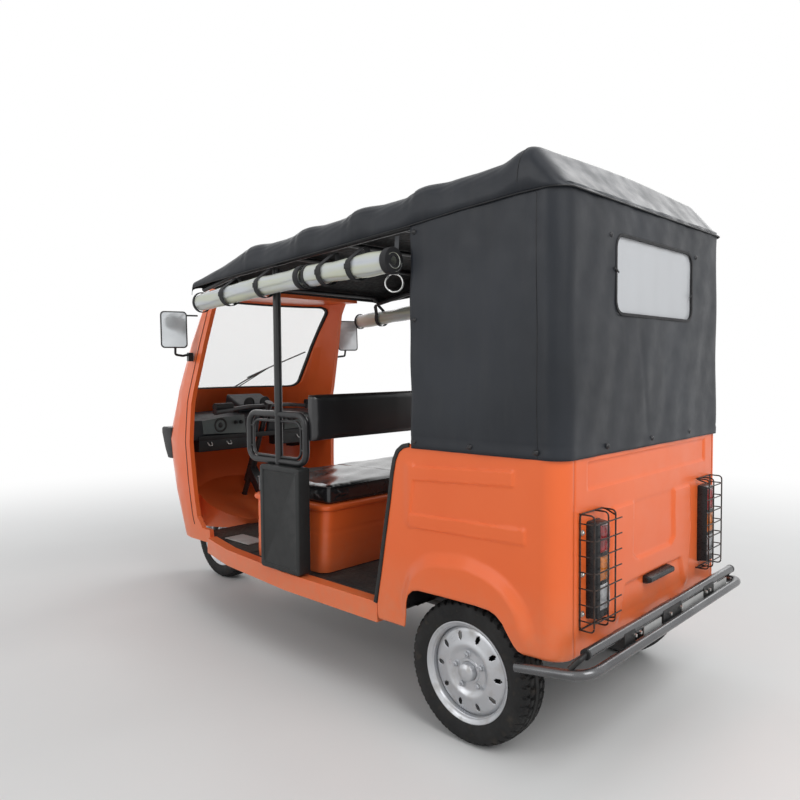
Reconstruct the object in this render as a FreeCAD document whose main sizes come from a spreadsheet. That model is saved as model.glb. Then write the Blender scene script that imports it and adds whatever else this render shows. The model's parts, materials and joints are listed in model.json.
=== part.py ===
import FreeCAD, Part
import math
import os
import Sketcher
from FreeCAD import Placement, Rotation, Vector

# Auto rickshaw, three wheels, in millimetres. It faces -Y, its left side is +X and +Z is up.
# The origin is on the ground, in the middle of its length and width.

# Driving sizes: name, value, what it is.
SIZES = (
    ("wheelbase", 2330, "front axle to rear axle"),
    ("rearaxle", 1060, "rear axle's place along the length"),
    ("tyreradius", 247.5, "outer radius of a tyre"),
    ("tyrewidth", 135, "width of a tyre"),
    ("beadradius", 160, "radius where the tyre seats on its rim"),
    ("flangeradius", 170, "radius of the rim's flange"),
    ("flangethick", 5, "thickness of the rim's flange"),
    ("rimnarrower", 10, "rim's edge inside the tyre's side"),
    ("rimthick", 8, "thickness of the rim's steel"),
    ("dishdepth", 22, "disc's face inside the rim's edge"),
    ("slotradius", 108, "inner end of the rim's slots from the axle"),
    ("slotlength", 26, "length of the rim's slots"),
    ("hubradius", 42, "radius of the wheel's hub"),
    ("reartrack", 1068, "distance between the rear tyres' middles"),
    ("axleradius", 12, "radius of a wheel's spindle"),
    ("seatgap", 0.3, "clearance where two pieces meet"),
    ("rake", 25, "lean of the steering axis, in degrees"),
    ("forkoffset", 45, "wheel centre ahead of the steering axis"),
    ("legspread", 110, "fork leg from the middle"),
    ("legradius", 16, "radius of a fork leg"),
    ("crownheight", 295.3, "fork crown above the wheel centre, along the steering axis"),
    ("columnradius", 15, "radius of the steering column"),
    ("headlow", 430, "lower end of the head tube along the steering axis"),
    ("headhigh", 590, "upper end of the head tube along the steering axis"),
    ("barheight", 906, "handlebar above the wheel centre along the steering axis"),
    ("barhalf", 370, "half length of the handlebar"),
    ("guardradius", 295, "outer radius of the front mudguard"),
    ("guardhalf", 84, "half width of the front mudguard"),
    ("wellrear", 268, "radius of the front wheel well behind the steering axis"),
    ("wellfront", 356, "radius of the front wheel well's mouth"),
    ("wellheight", 330, "roof of the front wheel well along the steering axis"),
    ("shellwall", 24, "thickness of the cab's front shell"),
    ("skin", 6, "thickness of the plain sheet pieces"),
    ("bodyhalf", 628, "half width of the rear body"),
    ("overhang", 391, "rear axle to the rear face of the body"),
    ("bodytop", 1016, "top edge of the rear body"),
    ("bodylow", 390, "lower edge of the rear body"),
    ("bodywall", 18, "thickness of the rear body's walls"),
    ("cornerradius", 70, "radius of the rear body's upright corners"),
    ("archtop", 507, "top of the rear wheel opening"),
    ("flareproud", 14, "how far the wheel flare stands out"),
    ("bandproud", 5, "how far a pressed band stands out"),
    ("floortop", 400, "top of the floor"),
    ("railhalf", 300, "chassis rail from the middle"),
    ("railwidth", 40, "width of a chassis rail"),
    ("raildepth", 60, "depth of a chassis rail"),
    ("sillwidth", 55, "width of a door sill"),
    ("silldepth", 66, "depth of a door sill"),
    ("canvas", 5, "thickness of the canopy's solids"),
    ("cabdepth", 710, "front axle to the rear edge of the cab's front shell, and to the roof's front edge"),
    ("curtainfront", 857, "front edge of the side curtain"),
    ("windowhalf", 310, "half width of the rear window"),
    ("windowlow", 1450, "lower edge of the rear window"),
    ("windowheight", 255, "height of the rear window"),
    ("windowbend", 40, "radius of the rear window's corners"),
    ("windowroom", 245, "rear window's upper edge to the roof's ridge"),
    ("posty", 45, "middle post's place along the length"),
    ("postx", 592, "middle post from the middle"),
    ("postradius", 17, "radius of the middle post"),
    ("panellow", 420, "lower edge of the post panel"),
    ("panelheight", 448, "height of the post panel"),
    ("panelahead", 87, "post panel's front edge ahead of the post"),
    ("panelbehind", 180, "post panel's rear edge behind the post"),
    ("hoopover", 117, "upper run of the arm hoop above the backrest's lower edge"),
    ("hoopahead", 203, "front run of the arm hoop ahead of the post"),
    ("hoopbehind", 210, "rear run of the arm hoop behind the post"),
    ("hoopradius", 13, "radius of the arm hoop's tube"),
    ("seatahead", 300, "driver's seat box ahead of the post"),
    ("seatbehind", 207, "driver's seat box behind the post"),
    ("seathalf", 519, "half width of the driver's seat box"),
    ("seatheight", 300, "height of the driver's seat box"),
    ("cushionthick", 82, "thickness of the driver's cushion"),
    ("backlow", 975, "lower edge of the driver's backrest"),
    ("backheight", 190, "height of the driver's backrest"),
    ("backthick", 45, "thickness of the driver's backrest"),
    ("benchdepth", 550, "front to back of the passenger bench"),
    ("benchroom", 101, "passenger bench to the rear face of the body"),
    ("benchheight", 290, "height of the passenger bench"),
    ("seatthick", 90, "thickness of the passenger cushion"),
    ("rollradius", 46, "radius of the rolled side curtain"),
    ("lampinner", 405, "tail lamp's inner edge from the middle"),
    ("lampwidth", 82, "width of the tail lamp"),
    ("lamplow", 497, "lower edge of the tail lamp"),
    ("lampheight", 306, "height of the tail lamp"),
    ("lampdepth", 38, "how far the tail lamp stands out"),
    ("guarddepth", 54, "how far the lamp guard stands out"),
    ("wireradius", 3, "radius of the lamp guard's wire"),
    ("bumperout", 98, "middle of the lower bumper tube behind the body"),
    ("bumperradius", 16, "radius of the bumper's tubes"),
)


def formula(value):
    return value.formula if isinstance(value, Size) else repr(float(value))


class Size(float):
    """A number that remembers the sheet formula it came from."""

    def __new__(cls, value, text):
        size = float.__new__(cls, value)
        size.formula = text
        return size

    def __add__(self, other):
        return Size(float(self) + float(other), "(%s + %s)" % (formula(self), formula(other)))

    def __sub__(self, other):
        return Size(float(self) - float(other), "(%s - %s)" % (formula(self), formula(other)))

    def __mul__(self, other):
        return Size(float(self) * float(other), "(%s * %s)" % (formula(self), formula(other)))

    def __truediv__(self, other):
        return Size(float(self) / float(other), "(%s / %s)" % (formula(self), formula(other)))

    def __radd__(self, other):
        return Size(float(other) + float(self), "(%s + %s)" % (formula(other), formula(self)))

    def __rsub__(self, other):
        return Size(float(other) - float(self), "(%s - %s)" % (formula(other), formula(self)))

    __rmul__ = __mul__

    def __neg__(self):
        return Size(-float(self), "(0 - %s)" % formula(self))


class Sizes:
    """The driving sizes, each read from its cell of the sheet."""


doc = FreeCAD.newDocument("auto_rickshaw")
sheet = doc.addObject("Spreadsheet::Sheet", "sheet")
d = Sizes()
for row, (alias, value, meaning) in enumerate(SIZES, 1):
    sheet.set("A%d" % row, alias)
    sheet.set("B%d" % row, str(value))
    sheet.setAlias("B%d" % row, alias)
    sheet.set("C%d" % row, meaning)
doc.recompute()
for alias, value, meaning in SIZES:
    setattr(d, alias, Size(float(sheet.get(alias)), "sheet." + alias))

# Places that follow from the sizes.
bodyrear = d.rearaxle + d.overhang
cornerstart = bodyrear - d.cornerradius
windowhigh = d.windowlow + d.windowheight
ridge = windowhigh + d.windowroom
curtaintop = ridge - 120
frontaxle = d.rearaxle - d.wheelbase
canopyfront = frontaxle + d.cabdepth
panelhigh = d.panellow + d.panelheight
panelfront = d.posty - d.panelahead
panelrear = d.posty + d.panelbehind
hooplow = panelhigh + d.hoopradius + 3
hoophigh = d.backlow + d.hoopover
hoopfront = d.posty - d.hoopahead
hooprear = d.posty + d.hoopbehind
seatfront = d.posty - d.seatahead
seatrear = d.posty + d.seatbehind
seattop = d.floortop + d.seatheight
backhigh = d.backlow + d.backheight
benchrear = bodyrear - d.benchroom
benchfront = benchrear - d.benchdepth
benchtop = d.floortop + d.benchheight
lampouter = d.lampinner + d.lampwidth
lamphigh = d.lamplow + d.lampheight
bumperrear = bodyrear + d.bumperout

nodes = {}


def node(name, made):
    """Keep an object as the sub-part of that name."""
    made.Label = name
    nodes[name] = made
    return made


def bind(made, **cells):
    """Tie properties of an object to the sheet."""
    for name, value in cells.items():
        if isinstance(value, Size):
            made.setExpression(name, value.formula)
        else:
            setattr(made, name, value)
    return made


def put(made, x=0.0, y=0.0, z=0.0, turn=None):
    """Place an object, its position tied to the sheet."""
    made.Placement = Placement(Vector(x, y, z), turn or Rotation())
    for axis, value in zip("xyz", (x, y, z)):
        if isinstance(value, Size):
            made.setExpression("Placement.Base." + axis, value.formula)
    return made


def block(name, x, y, z):
    """A box between two values along each axis."""
    made = doc.addObject("Part::Box", name)
    bind(made, Length=x[1] - x[0], Width=y[1] - y[0], Height=z[1] - z[0])
    return put(made, x[0], y[0], z[0])


def rod(name, radius, length, x, y, z, direction):
    """A round bar of a length, from a point along a direction."""
    made = doc.addObject("Part::Cylinder", name)
    bind(made, Radius=radius, Height=length)
    return put(made, x, y, z, Rotation(Vector(0, 0, 1), Vector(*direction)))


def fused(name, pieces):
    made = doc.addObject("Part::MultiFuse", name)
    made.Shapes = pieces
    return made


def cut(name, base, tool):
    made = doc.addObject("Part::Cut", name)
    made.Base = base
    made.Tool = tool
    return made


def together(name, pieces):
    """Like pieces that don't touch, kept as one sub-part."""
    made = doc.addObject("Part::Compound", name)
    made.Links = pieces
    return made


def mirrored(name, source):
    """The same piece on the other side."""
    made = doc.addObject("Part::Mirroring", name)
    made.Source = source
    made.Normal = Vector(1, 0, 0)
    made.Base = Vector(0, 0, 0)
    return made


def shaped(name, shape, placement=None):
    """A piece whose shape is worked out below."""
    made = doc.addObject("Part::Feature", name)
    made.Shape = shape
    if placement:
        made.Placement = placement
    return made


def pair(name, source):
    """Left and right pieces as one sub-part."""
    return node(name, together(name + "_pair", [source, mirrored(name + "_other", source)]))


def body_sketch(body, name, role, offset):
    """A sketch on one of a body's own planes, moved along the plane's normal."""
    plane = [feature for feature in body.Origin.OriginFeatures if feature.Role == role][0]
    sketch = body.newObject("Sketcher::SketchObject", name)
    sketch.AttachmentSupport = (plane, [""])
    sketch.MapMode = "FlatFace"
    sketch.AttachmentOffset = Placement(Vector(0, 0, offset), Rotation())
    if isinstance(offset, Size):
        sketch.setExpression("AttachmentOffset.Base.z", offset.formula)
    return sketch


def outline(sketch, points):
    """A closed outline of straight lines, each corner held to the sheet."""
    corners = [Vector(float(u), float(v), 0) for u, v in points]
    for index, corner in enumerate(corners):
        sketch.addGeometry(Part.LineSegment(corner, corners[(index + 1) % len(corners)]), False)
    for index, (u, v) in enumerate(points):
        sketch.addConstraint(Sketcher.Constraint("Coincident", index - 1 if index else len(points) - 1, 2, index, 1))
        for kind, value in (("DistanceX", u), ("DistanceY", v)):
            number = sketch.addConstraint(Sketcher.Constraint(kind, -1, 1, index, 1, float(value)))
            if isinstance(value, Size):
                sketch.setExpression("Constraints[%d]" % number, value.formula)


def padded(name, role, points, offset, thickness):
    """A flat piece: an outline on a plane, given a thickness."""
    body = doc.addObject("PartDesign::Body", name)
    sketch = body_sketch(body, name + "_sketch", role, offset)
    outline(sketch, points)
    pad = body.newObject("PartDesign::Pad", name + "_pad")
    pad.Profile = sketch
    bind(pad, Length=thickness)
    doc.recompute()
    return body


def round_edges(body, name, radius, chosen):
    """Round the edges of a body that a test picks."""
    tip = body.Tip
    edges = ["Edge%d" % (n + 1) for n, edge in enumerate(tip.Shape.Edges) if chosen(edge)]
    fillet = body.newObject("PartDesign::Fillet", name)
    fillet.Base = (tip, edges)
    bind(fillet, Radius=radius)
    doc.recompute()
    return body


def runs_along(axis):
    """Test for straight edges along an axis."""
    def chosen(edge):
        if edge.Curve.TypeId != "Part::GeomLine":
            return False
        along = edge.tangentAt(edge.FirstParameter)
        return abs(getattr(along, axis)) > 0.999
    return chosen


def polyline_solid(points, direction):
    """A prism from a closed list of corners."""
    wire = Part.makePolygon(list(points) + [points[0]])
    return Part.Face(wire).extrude(direction)


TUBE_SIDES = 12
BEND_STEP = math.radians(30)


def bend_chords(before, corner, after, bend):
    """A tangent arc at a corner, taken in chords of at most the bend step."""
    u = (before - corner).normalize()
    v = (after - corner).normalize()
    half = u.getAngle(v) / 2
    back = bend / math.tan(half)
    middle = corner + (u + v).normalize() * (bend / math.sin(half) - bend)
    arc = Part.Arc(corner + u * back, middle, corner + v * back).toShape()
    return arc.discretize(2 + int((math.pi - 2 * half) / BEND_STEP))


def bar(corners, radius):
    """A bar of twelve sides carried along a line of corners, mitred at each."""
    along = (corners[1] - corners[0]).normalize()
    across = along.cross(Vector(0.31, 0.17, 0.93)).normalize()
    over = along.cross(across)
    turns = [2 * math.pi * n / TUBE_SIDES for n in range(TUBE_SIDES)]
    start = (corners[0] + corners[1]) / 2 if corners[0].isEqual(corners[-1], 1e-6) else corners[0]
    ring = [start + (across * math.cos(turn) + over * math.sin(turn)) * radius for turn in turns]
    return Part.makePolygon(ring + [ring[0]])


def tube(points, radius, bend):
    """A round bar along straight runs, bent at each inner corner."""
    points = [Vector(*p) for p in points]
    corners = [points[0]]
    for before, corner, after in zip(points, points[1:], points[2:]):
        corners += bend_chords(before, corner, after, bend)
    corners.append(points[-1])
    return Part.makePolygon(corners).makePipeShell([bar(corners, radius)], True, False, 1)


def tube_loop(points, radius, bend):
    """A round bar bent into a closed loop, with every corner of the bend radius."""
    points = [Vector(*p) for p in points]
    corners = []
    for index, corner in enumerate(points):
        corners += bend_chords(points[index - 1], corner, points[(index + 1) % len(points)], bend)
    start = (corners[0] + corners[-1]) / 2
    corners = [start] + corners + [start]
    return Part.makePolygon(corners).makePipeShell([bar(corners[:-1], radius)], True, False, 1)


# Running gear. A wheel is turned about its own X axis and then put in its place.

WHEEL_FLATS = 40
RIM_SLOTS = 10


def turned(section):
    """A solid: a section of place along X and radius, turned about the X axis in equal flats."""
    step = 2 * math.pi / WHEEL_FLATS
    turns = [step * (n + 0.5) for n in range(WHEEL_FLATS)]
    rings = [[Vector(x, r * math.cos(turn), r * math.sin(turn)) for turn in turns] for x, r in section]
    flats = []
    for number, ring in enumerate(rings):
        before = rings[number - 1]
        for n in range(WHEEL_FLATS):
            flats.append(Part.Face(Part.makePolygon([before[n - 1], before[n], ring[n], ring[n - 1], before[n - 1]])))
    solid = Part.Solid(Part.Shell(flats))
    if solid.Volume < 0:
        solid.reverse()
    return solid


def tyre(name, x, y):
    """A tyre: beads, side walls and tread."""
    half = d.tyrewidth / 2
    bead = half - d.rimnarrower - d.flangethick - d.seatgap
    seat = d.beadradius + d.seatgap
    shoulder = d.tyreradius - d.tyrewidth * 0.11
    made = shaped(name, turned((
        (-bead, seat), (bead, seat), (bead, d.flangeradius + 2), (half, shoulder), (half * 0.76, d.tyreradius),
        (half * -0.76, d.tyreradius), (-half, shoulder), (-bead, d.flangeradius + 2))))
    return node(name, put(made, x, y, d.tyreradius))


def rim(name, x, y, face, bore):
    """A pressed steel wheel: barrel between its flanges, dished disc with slots, and the hub."""
    half = d.tyrewidth / 2 - d.rimnarrower
    well = d.beadradius - d.rimthick
    dish = half - d.dishdepth
    hub = d.hubradius
    slot_out = d.slotradius + d.slotlength
    wheel = turned([(u * face, v) for u, v in (
        (-half, well), (-half, d.flangeradius), (d.flangethick - half, d.flangeradius),
        (d.flangethick - half, d.beadradius), (half - d.flangethick, d.beadradius),
        (half - d.flangethick, d.flangeradius), (half, d.flangeradius), (half, well - 2), (dish, slot_out + 8),
        (dish + 12, d.slotradius - 20), (dish, hub + 2), (half - 2, hub - 4), (half - 2, bore),
        (half - 62, bore), (half - 62, hub), (dish + 4, d.slotradius - 15), (dish - d.rimthick, well))])
    corners = ((-7.0, d.slotradius), (7.0, d.slotradius), (8.0, slot_out), (-8.0, slot_out))
    slot = polyline_solid([Vector(-half, y, r) for y, r in corners], Vector(2 * half, 0, 0))
    slots = []
    for number in range(RIM_SLOTS):
        turn = slot.copy()
        turn.rotate(Vector(0, 0, 0), Vector(1, 0, 0), 360.0 * number / RIM_SLOTS)
        slots.append(turn)
    return node(name, put(shaped(name, wheel.cut(slots)), x, y, d.tyreradius))


spindle = d.axleradius + d.seatgap
tyre("front_tyre", 0.0, frontaxle)
rim("front_rim", 0.0, frontaxle, 1.0, spindle)
for side, sign in (("left", 1.0), ("right", -1.0)):
    tyre("rear_tyre_" + side, d.reartrack / 2 * sign, d.rearaxle)
    rim("rear_rim_" + side, d.reartrack / 2 * sign, d.rearaxle, sign, spindle)

# Chassis rails' heights.
rail_top = d.floortop - 10
rail_low = rail_top - d.raildepth

# Rear axle: beam, brake drums, spindles and the motor with its gear case as one plain block.
inner_end = d.reartrack / 2 - 60
axle_pieces = [
    rod("axle_beam", 32.0, inner_end * 2, -inner_end, d.rearaxle, d.tyreradius, (1, 0, 0)),
    rod("axle_spindle", d.axleradius, d.reartrack + 90, -(d.reartrack / 2 + 45), d.rearaxle, d.tyreradius, (1, 0, 0)),
    rod("drum_left", 95.0, 64.0, d.reartrack / 2 - 78, d.rearaxle, d.tyreradius, (1, 0, 0)),
    rod("drum_right", 95.0, 64.0, -(d.reartrack / 2 - 14), d.rearaxle, d.tyreradius, (1, 0, 0)),
    rod("gear_case", 88.0, 130.0, 20.0, d.rearaxle, d.tyreradius, (1, 0, 0)),
    rod("motor", 78.0, 240.0, 60.0, d.rearaxle - 300, d.tyreradius - 5, (0, 1, 0)),
]
node("rear_axle", fused("rear_axle_fuse", axle_pieces))


def leaf_spring():
    """Three concentric leaves, each shorter than the one above, resting on the axle beam."""
    leaf = 8.0
    seat = float(d.tyreradius + 32 + d.seatgap)
    rise = rail_low - 2 * d.seatgap - seat - 3 * leaf
    reach = 300.0
    radius = reach ** 2 / (2 * rise) + rise / 2
    centre = seat + radius
    made = None
    for number, half in enumerate((140.0, 220.0, reach)):
        def at(y, inset):
            return Vector(0, y, centre - math.sqrt((radius - inset) ** 2 - y ** 2))
        low = number * leaf
        edges = [Part.Arc(at(-half, low), at(0, low), at(half, low)).toShape(),
                 Part.LineSegment(at(half, low), at(half, low + leaf)).toShape(),
                 Part.Arc(at(half, low + leaf), at(0, low + leaf), at(-half, low + leaf)).toShape(),
                 Part.LineSegment(at(-half, low + leaf), at(-half, low)).toShape()]
        piece = Part.Face(Part.Wire(edges)).extrude(Vector(d.railwidth, 0, 0))
        made = piece if made is None else made.fuse(piece)
    return made.removeSplitter()


spring = shaped("leaf_spring", leaf_spring(), Placement(Vector(d.railhalf - d.railwidth / 2, d.rearaxle, 0), Rotation()))
pair("leaf_springs", spring)

# Steering: everything here stands in a frame whose Z is the steering axis and whose
# middle is the foot of the wheel centre on that axis.
lean = math.radians(d.rake)
steer_foot = Vector(0, frontaxle + d.forkoffset * math.cos(lean), d.tyreradius - d.forkoffset * math.sin(lean))
steer_turn = Rotation(Vector(1, 0, 0), -d.rake)
steer_frame = Placement(steer_foot, steer_turn)


def fork():
    """Two legs with the axle through their feet, a crown, and the column above it."""
    ahead = -float(d.forkoffset)
    legs = []
    for sign in (-1, 1):
        x = sign * float(d.legspread)
        legs.append(tube([(x, ahead, -10), (x, ahead, 120), (x, 0, 190), (x, 0, d.crownheight + 15)], d.legradius, 60))
        legs.append(Part.makeCylinder(26, 30, Vector(x - 15, ahead, 0), Vector(1, 0, 0)))
    reach = float(d.legspread + 20)
    axle = Part.makeCylinder(d.axleradius, 2 * reach, Vector(-reach, ahead, 0), Vector(1, 0, 0))
    crown = Part.makeBox(2 * reach, 88, 14, Vector(-reach, -60, d.crownheight))
    column = Part.makeCylinder(d.columnradius, d.barheight - d.crownheight, Vector(0, 0, d.crownheight))
    return axle.multiFuse(legs + [crown, column]).removeSplitter()


def handlebar():
    """A bar with grips at its ends and a clamp that holds it on the column."""
    half = float(d.barhalf)
    top = float(d.barheight)
    bar = tube([(-half, 40, top + 22), (-140, 0, top + 22), (140, 0, top + 22), (half, 40, top + 22)], 11, 60)
    grips = [Part.makeCylinder(17, 120, Vector(s * (half - 112), 40 - 112 * 40 / (half - 140), top + 22),
                               Vector(s * (half - 140), 40, 0)) for s in (-1, 1)]
    clamp = Part.makeCylinder(24, 44, Vector(0, 0, top + d.seatgap))
    return bar.multiFuse(grips + [clamp]).removeSplitter()


def mudguard():
    """A hoop of sheet over the front tyre, with a stay down to each end of the axle."""
    outer = float(d.guardradius)
    half = float(d.guardhalf)
    ahead = Vector(-half, -float(d.forkoffset), 0)
    ring = Part.makeCylinder(outer, 2 * half, ahead, Vector(1, 0, 0)).cut(
        Part.makeCylinder(outer - 5, 2 * half, ahead, Vector(1, 0, 0)))
    for sign in (-1, 1):
        lip = Part.makeCylinder(outer, 5, Vector(sign * (half - 2.5) - 2.5, ahead.y, 0), Vector(1, 0, 0)).cut(
            Part.makeCylinder(outer - 24, 5, Vector(sign * (half - 2.5) - 2.5, ahead.y, 0), Vector(1, 0, 0)))
        ring = ring.fuse(lip)
    # What is kept runs from just below level in front, over the top, to the tyre's rear quarter.
    away = Part.makeBox(2 * half + 40, 700, 700, Vector(-half - 20, -350, -700))
    away.rotate(Vector(0, 0, 0), Vector(1, 0, 0), d.rake - 4)
    away.translate(Vector(0, ahead.y, -18))
    return ring.cut(away).removeSplitter()


node("fork", shaped("fork_shape", fork(), steer_frame))
node("handlebar", shaped("handlebar_shape", handlebar(), steer_frame))
node("front_mudguard", shaped("mudguard_shape", mudguard(), steer_frame))


# Cab front shell: level sections from the hem up to the header, in lines and arcs.
# Columns: height, half width at the door, half width and place where the corner starts,
# half width and place where it ends, and the place of the nose on the middle line.
# The places are behind the front axle.
SHELL_LEVELS = (
    (380, 480, 474, 370, 345, 175, 130),
    (620, 500, 486, 340, 345, 80, -30),
    (900, 522, 496, 290, 340, 20, -105),
    (1165, 514, 478, 320, 310, 110, 45),
    (1420, 482, 456, 400, 300, 250, 200),
    (ridge - 250, 445, 425, 530, 290, 420, 385),
)
sill_front = frontaxle + 570
header_low = ridge - 288


CORNER_CHORDS = 4
NOSE_CHORDS = 8


def shell_body(inset):
    """The solid inside the cab's skin, all round by an inset. Its arcs are taken in chords."""
    sections = []
    for z, door, side, side_y, front, front_y, nose_y in SHELL_LEVELS:
        door_end = Vector(door - inset, canopyfront, z)
        start = Vector(side - inset, frontaxle + side_y + inset * 0.2, z)
        end = Vector(front - inset * 0.6, frontaxle + front_y + inset, z)
        nose = Vector(0, frontaxle + nose_y + inset, z)
        chord = end - start
        swell = (start + end) * 0.5 + Vector(-chord.y, chord.x, 0).normalize() * chord.Length * 0.13
        corner = Part.Arc(start, swell, end).toShape().discretize(CORNER_CHORDS + 1)
        front_arc = Part.Arc(end, nose, Vector(-end.x, end.y, z)).toShape().discretize(NOSE_CHORDS + 1)
        half = [door_end] + corner
        other = [Vector(-p.x, p.y, p.z) for p in reversed(half)]
        sections.append(Part.makePolygon(half + front_arc[1:-1] + other + [door_end]))
    return Part.makeLoft(sections, True, True)


def well_space(grow):
    """The room that the front wheel sweeps: a narrow drum behind the axis, a wide one ahead."""
    low, height = -320.0, 320.0 + float(d.wellheight) + grow
    rear = Part.makeCylinder(d.wellrear + grow, height, Vector(0, 0, low))
    front = Part.makeCylinder(d.wellfront + grow, height, Vector(0, 0, low))
    front = front.common(Part.makeBox(1000, 600, height, Vector(-500, -600 - 60 + grow, low)))
    space = rear.fuse(front)
    space.Placement = steer_frame
    return space


def door_cut():
    """What lies behind the door's front edge, seen from the side, as a prism across the cab."""
    low, swell, high = (Vector(-700, frontaxle + y, z) for y, z in ((452, 505), (428, 900), (433, 1100)))
    edges = [Part.Arc(low, swell, high).toShape()]
    runs = [high] + [Vector(-700, y, z) for y, z in (
        (frontaxle + 580, ridge - 350), (frontaxle + 620, header_low), (canopyfront + 60, header_low),
        (canopyfront + 60, 300), (sill_front, 300), (sill_front, 450), (frontaxle + 500, 450))] + [low]
    for a, b in zip(runs, runs[1:]):
        edges.append(Part.LineSegment(a, b).toShape())
    return Part.Face(Part.Wire(edges)).extrude(Vector(1400, 0, 0))


def window_prism(grow):
    """The windscreen's outline, carried forward through the shell."""
    low, high, bottom, top, bend = 406 + grow, 418 + grow, 1165 - grow, ridge - 295 + grow, 45.0
    v = [Vector(-low, 0, bottom), Vector(low, 0, bottom), Vector(high, 0, top), Vector(-high, 0, top)]
    edges = []
    starts = []
    for index, corner in enumerate(v):
        before = (v[index - 1] - corner).normalize()
        after = (v[(index + 1) % 4] - corner).normalize()
        half = before.getAngle(after) / 2
        back = bend / math.tan(half)
        first, last = corner + before * back, corner + after * back
        middle = corner + (before + after).normalize() * (bend / math.sin(half) - bend)
        starts.append((first, middle, last))
    for index, (first, middle, last) in enumerate(starts):
        edges.append(Part.Arc(first, middle, last).toShape())
        edges.append(Part.LineSegment(last, starts[(index + 1) % 4][0]).toShape())
    face = Part.Face(Part.Wire(edges))
    face.translate(Vector(0, frontaxle - 130, 0))
    return face.extrude(Vector(0, 700, 0))


skin_out = shell_body(0.0)
skin_in = shell_body(float(d.shellwall))
skin_fit = shell_body(float(d.shellwall + d.seatgap))
header = polyline_solid([Vector(-700, y, z) for y, z in (
    (canopyfront, header_low), (canopyfront, header_low + 60), (frontaxle + 270, header_low + 60),
    (frontaxle + 270, header_low))], Vector(1400, 0, 0))
shell = skin_out.cut([skin_in.cut(header), door_cut(), well_space(0.0), window_prism(0.0)])
node("front_shell", shaped("shell_shape", shell))

glass = shell_body(8.0).cut(shell_body(13.0)).common(window_prism(-0.3))
node("windscreen", shaped("glass_shape", glass))

column_hole = Part.makeCylinder(d.columnradius + 5, 80, Vector(0, 0, d.wellheight - 20))
column_hole.Placement = steer_frame
well = well_space(float(d.skin)).cut([well_space(0.0), column_hole]).common(skin_fit)
node("wheel_well", shaped("well_shape", well))

# Chassis: two rails, cross members, a raised neck and the head tube that holds the column.
chassis_front = frontaxle + 530
chassis_rear = bodyrear - 56
chassis_pieces = []
for sign in (-1.0, 1.0):
    inner = d.railhalf * sign - d.railwidth / 2
    chassis_pieces.append(block("rail", (inner, inner + d.railwidth), (chassis_front, chassis_rear), (rail_low, rail_top)))
    pad = d.railhalf * sign - 30
    chassis_pieces.append(block("jack_pad", (pad, pad + 60), (70.0, 130.0), (rail_low - 6, rail_low)))
for y in (chassis_front, -240.0, 300.0, d.rearaxle - 300, chassis_rear - 50):
    chassis_pieces.append(block("cross", (-d.railhalf, d.railhalf + 0.0), (y, y + 50), (rail_low, rail_top)))


def neck():
    """A square tube from the first cross member up to the head tube, and the head tube's bore."""
    middle = float(d.headlow + d.headhigh) / 2
    up = steer_frame.multVec(Vector(0, 0, middle))
    foot = Vector(0, chassis_front + 25, rail_low + 5)
    away = up - foot
    bar = Part.makeBox(50, 50, away.Length, Vector(-25, -25, 0))
    bar.Placement = Placement(foot, Rotation(Vector(0, 0, 1), away))
    head = Part.makeCylinder(26, d.headhigh - d.headlow, Vector(0, 0, d.headlow))
    bore = Part.makeCylinder(d.columnradius + d.seatgap, 600, Vector(0, 0, d.headlow - 20))
    head.Placement = steer_frame
    bore.Placement = steer_frame
    return bar.fuse(head).cut(bore)


chassis_pieces.append(shaped("neck", neck()))
node("chassis_frame", fused("chassis_fuse", chassis_pieces))

# Floor and sills: the plan narrows from the rear body to the cab.
# Columns: place along the length, outer half width of the sill.
SILL_PLAN = ((d.curtainfront - 186, 626.0), (100.0, 618.0), (frontaxle + 850, 565.0), (sill_front + 0.3, 497.0))
sill_outer = [(x, y) for y, x in SILL_PLAN]
sill_inner = [(x - d.sillwidth, y) for y, x in reversed(SILL_PLAN)]
sill = padded("sill", "XY_Plane", sill_outer + sill_inner, d.floortop - d.silldepth, d.silldepth + 12)
node("sills", together("sills_pair", [sill, mirrored("sill_other", sill)]))

house_in = d.reartrack / 2 - d.tyrewidth / 2 - 30
floor_rear = bodyrear - d.bodywall - d.seatgap
house_front = d.rearaxle - 290
floor_step = house_front - 10
floor_edge = [(house_in, floor_rear), (house_in, floor_step), (SILL_PLAN[0][1] - d.sillwidth - d.seatgap, floor_step)] + [
    (x - d.sillwidth - d.seatgap, y) for y, x in SILL_PLAN] + [(438.0, frontaxle + 390)]
floor = padded("floor", "XY_Plane", floor_edge + [(-x, y) for x, y in reversed(floor_edge)],
               rail_top, d.floortop - rail_top)
neck_half = 25.0
neck_notch = Part.makeBox(2 * (neck_half + d.seatgap), 250, 40, Vector(-neck_half - d.seatgap, chassis_front - 225, rail_top - 10))
floor_room = shaped("floor_room", well_space(float(d.skin + d.seatgap)).fuse(neck_notch))
node("floor_pan", cut("floor_cut", floor, floor_room))

# Rear body: side panels with their wheel openings, flares and pressed bands.
# The door's rear edge: place ahead of the curtain's front edge, height under the body's top edge.
DOOR_EDGE = ((168, 497), (135, 349), (109, 212), (90, 96), (59, 41), (0, 0))
# The wheel opening and the flare's outer edge: place behind the axle, height under the opening's top.
ARCH = ((252, 117), (212, 47), (163, 15), (80, 0), (-73, 0), (-180, 17), (-224, 52), (-248, 147))
FLARE = ((-290, 147), (-284, 52), (-260, -38), (-184, -115), (-65, -149), (80, -149), (180, -115), (257, -38),
         (282, 34), (285, 117))
# The pressed bands: start behind the curtain's front edge, end ahead of the corner, and the depth of the band's
# upper edge under the body's top edge, in front and at the rear.
BANDS = ((5, 100, 80, 58), (-18, 58, 248, 235))
BAND_TALL = 49
STRIP_WIDE = 42


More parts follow.
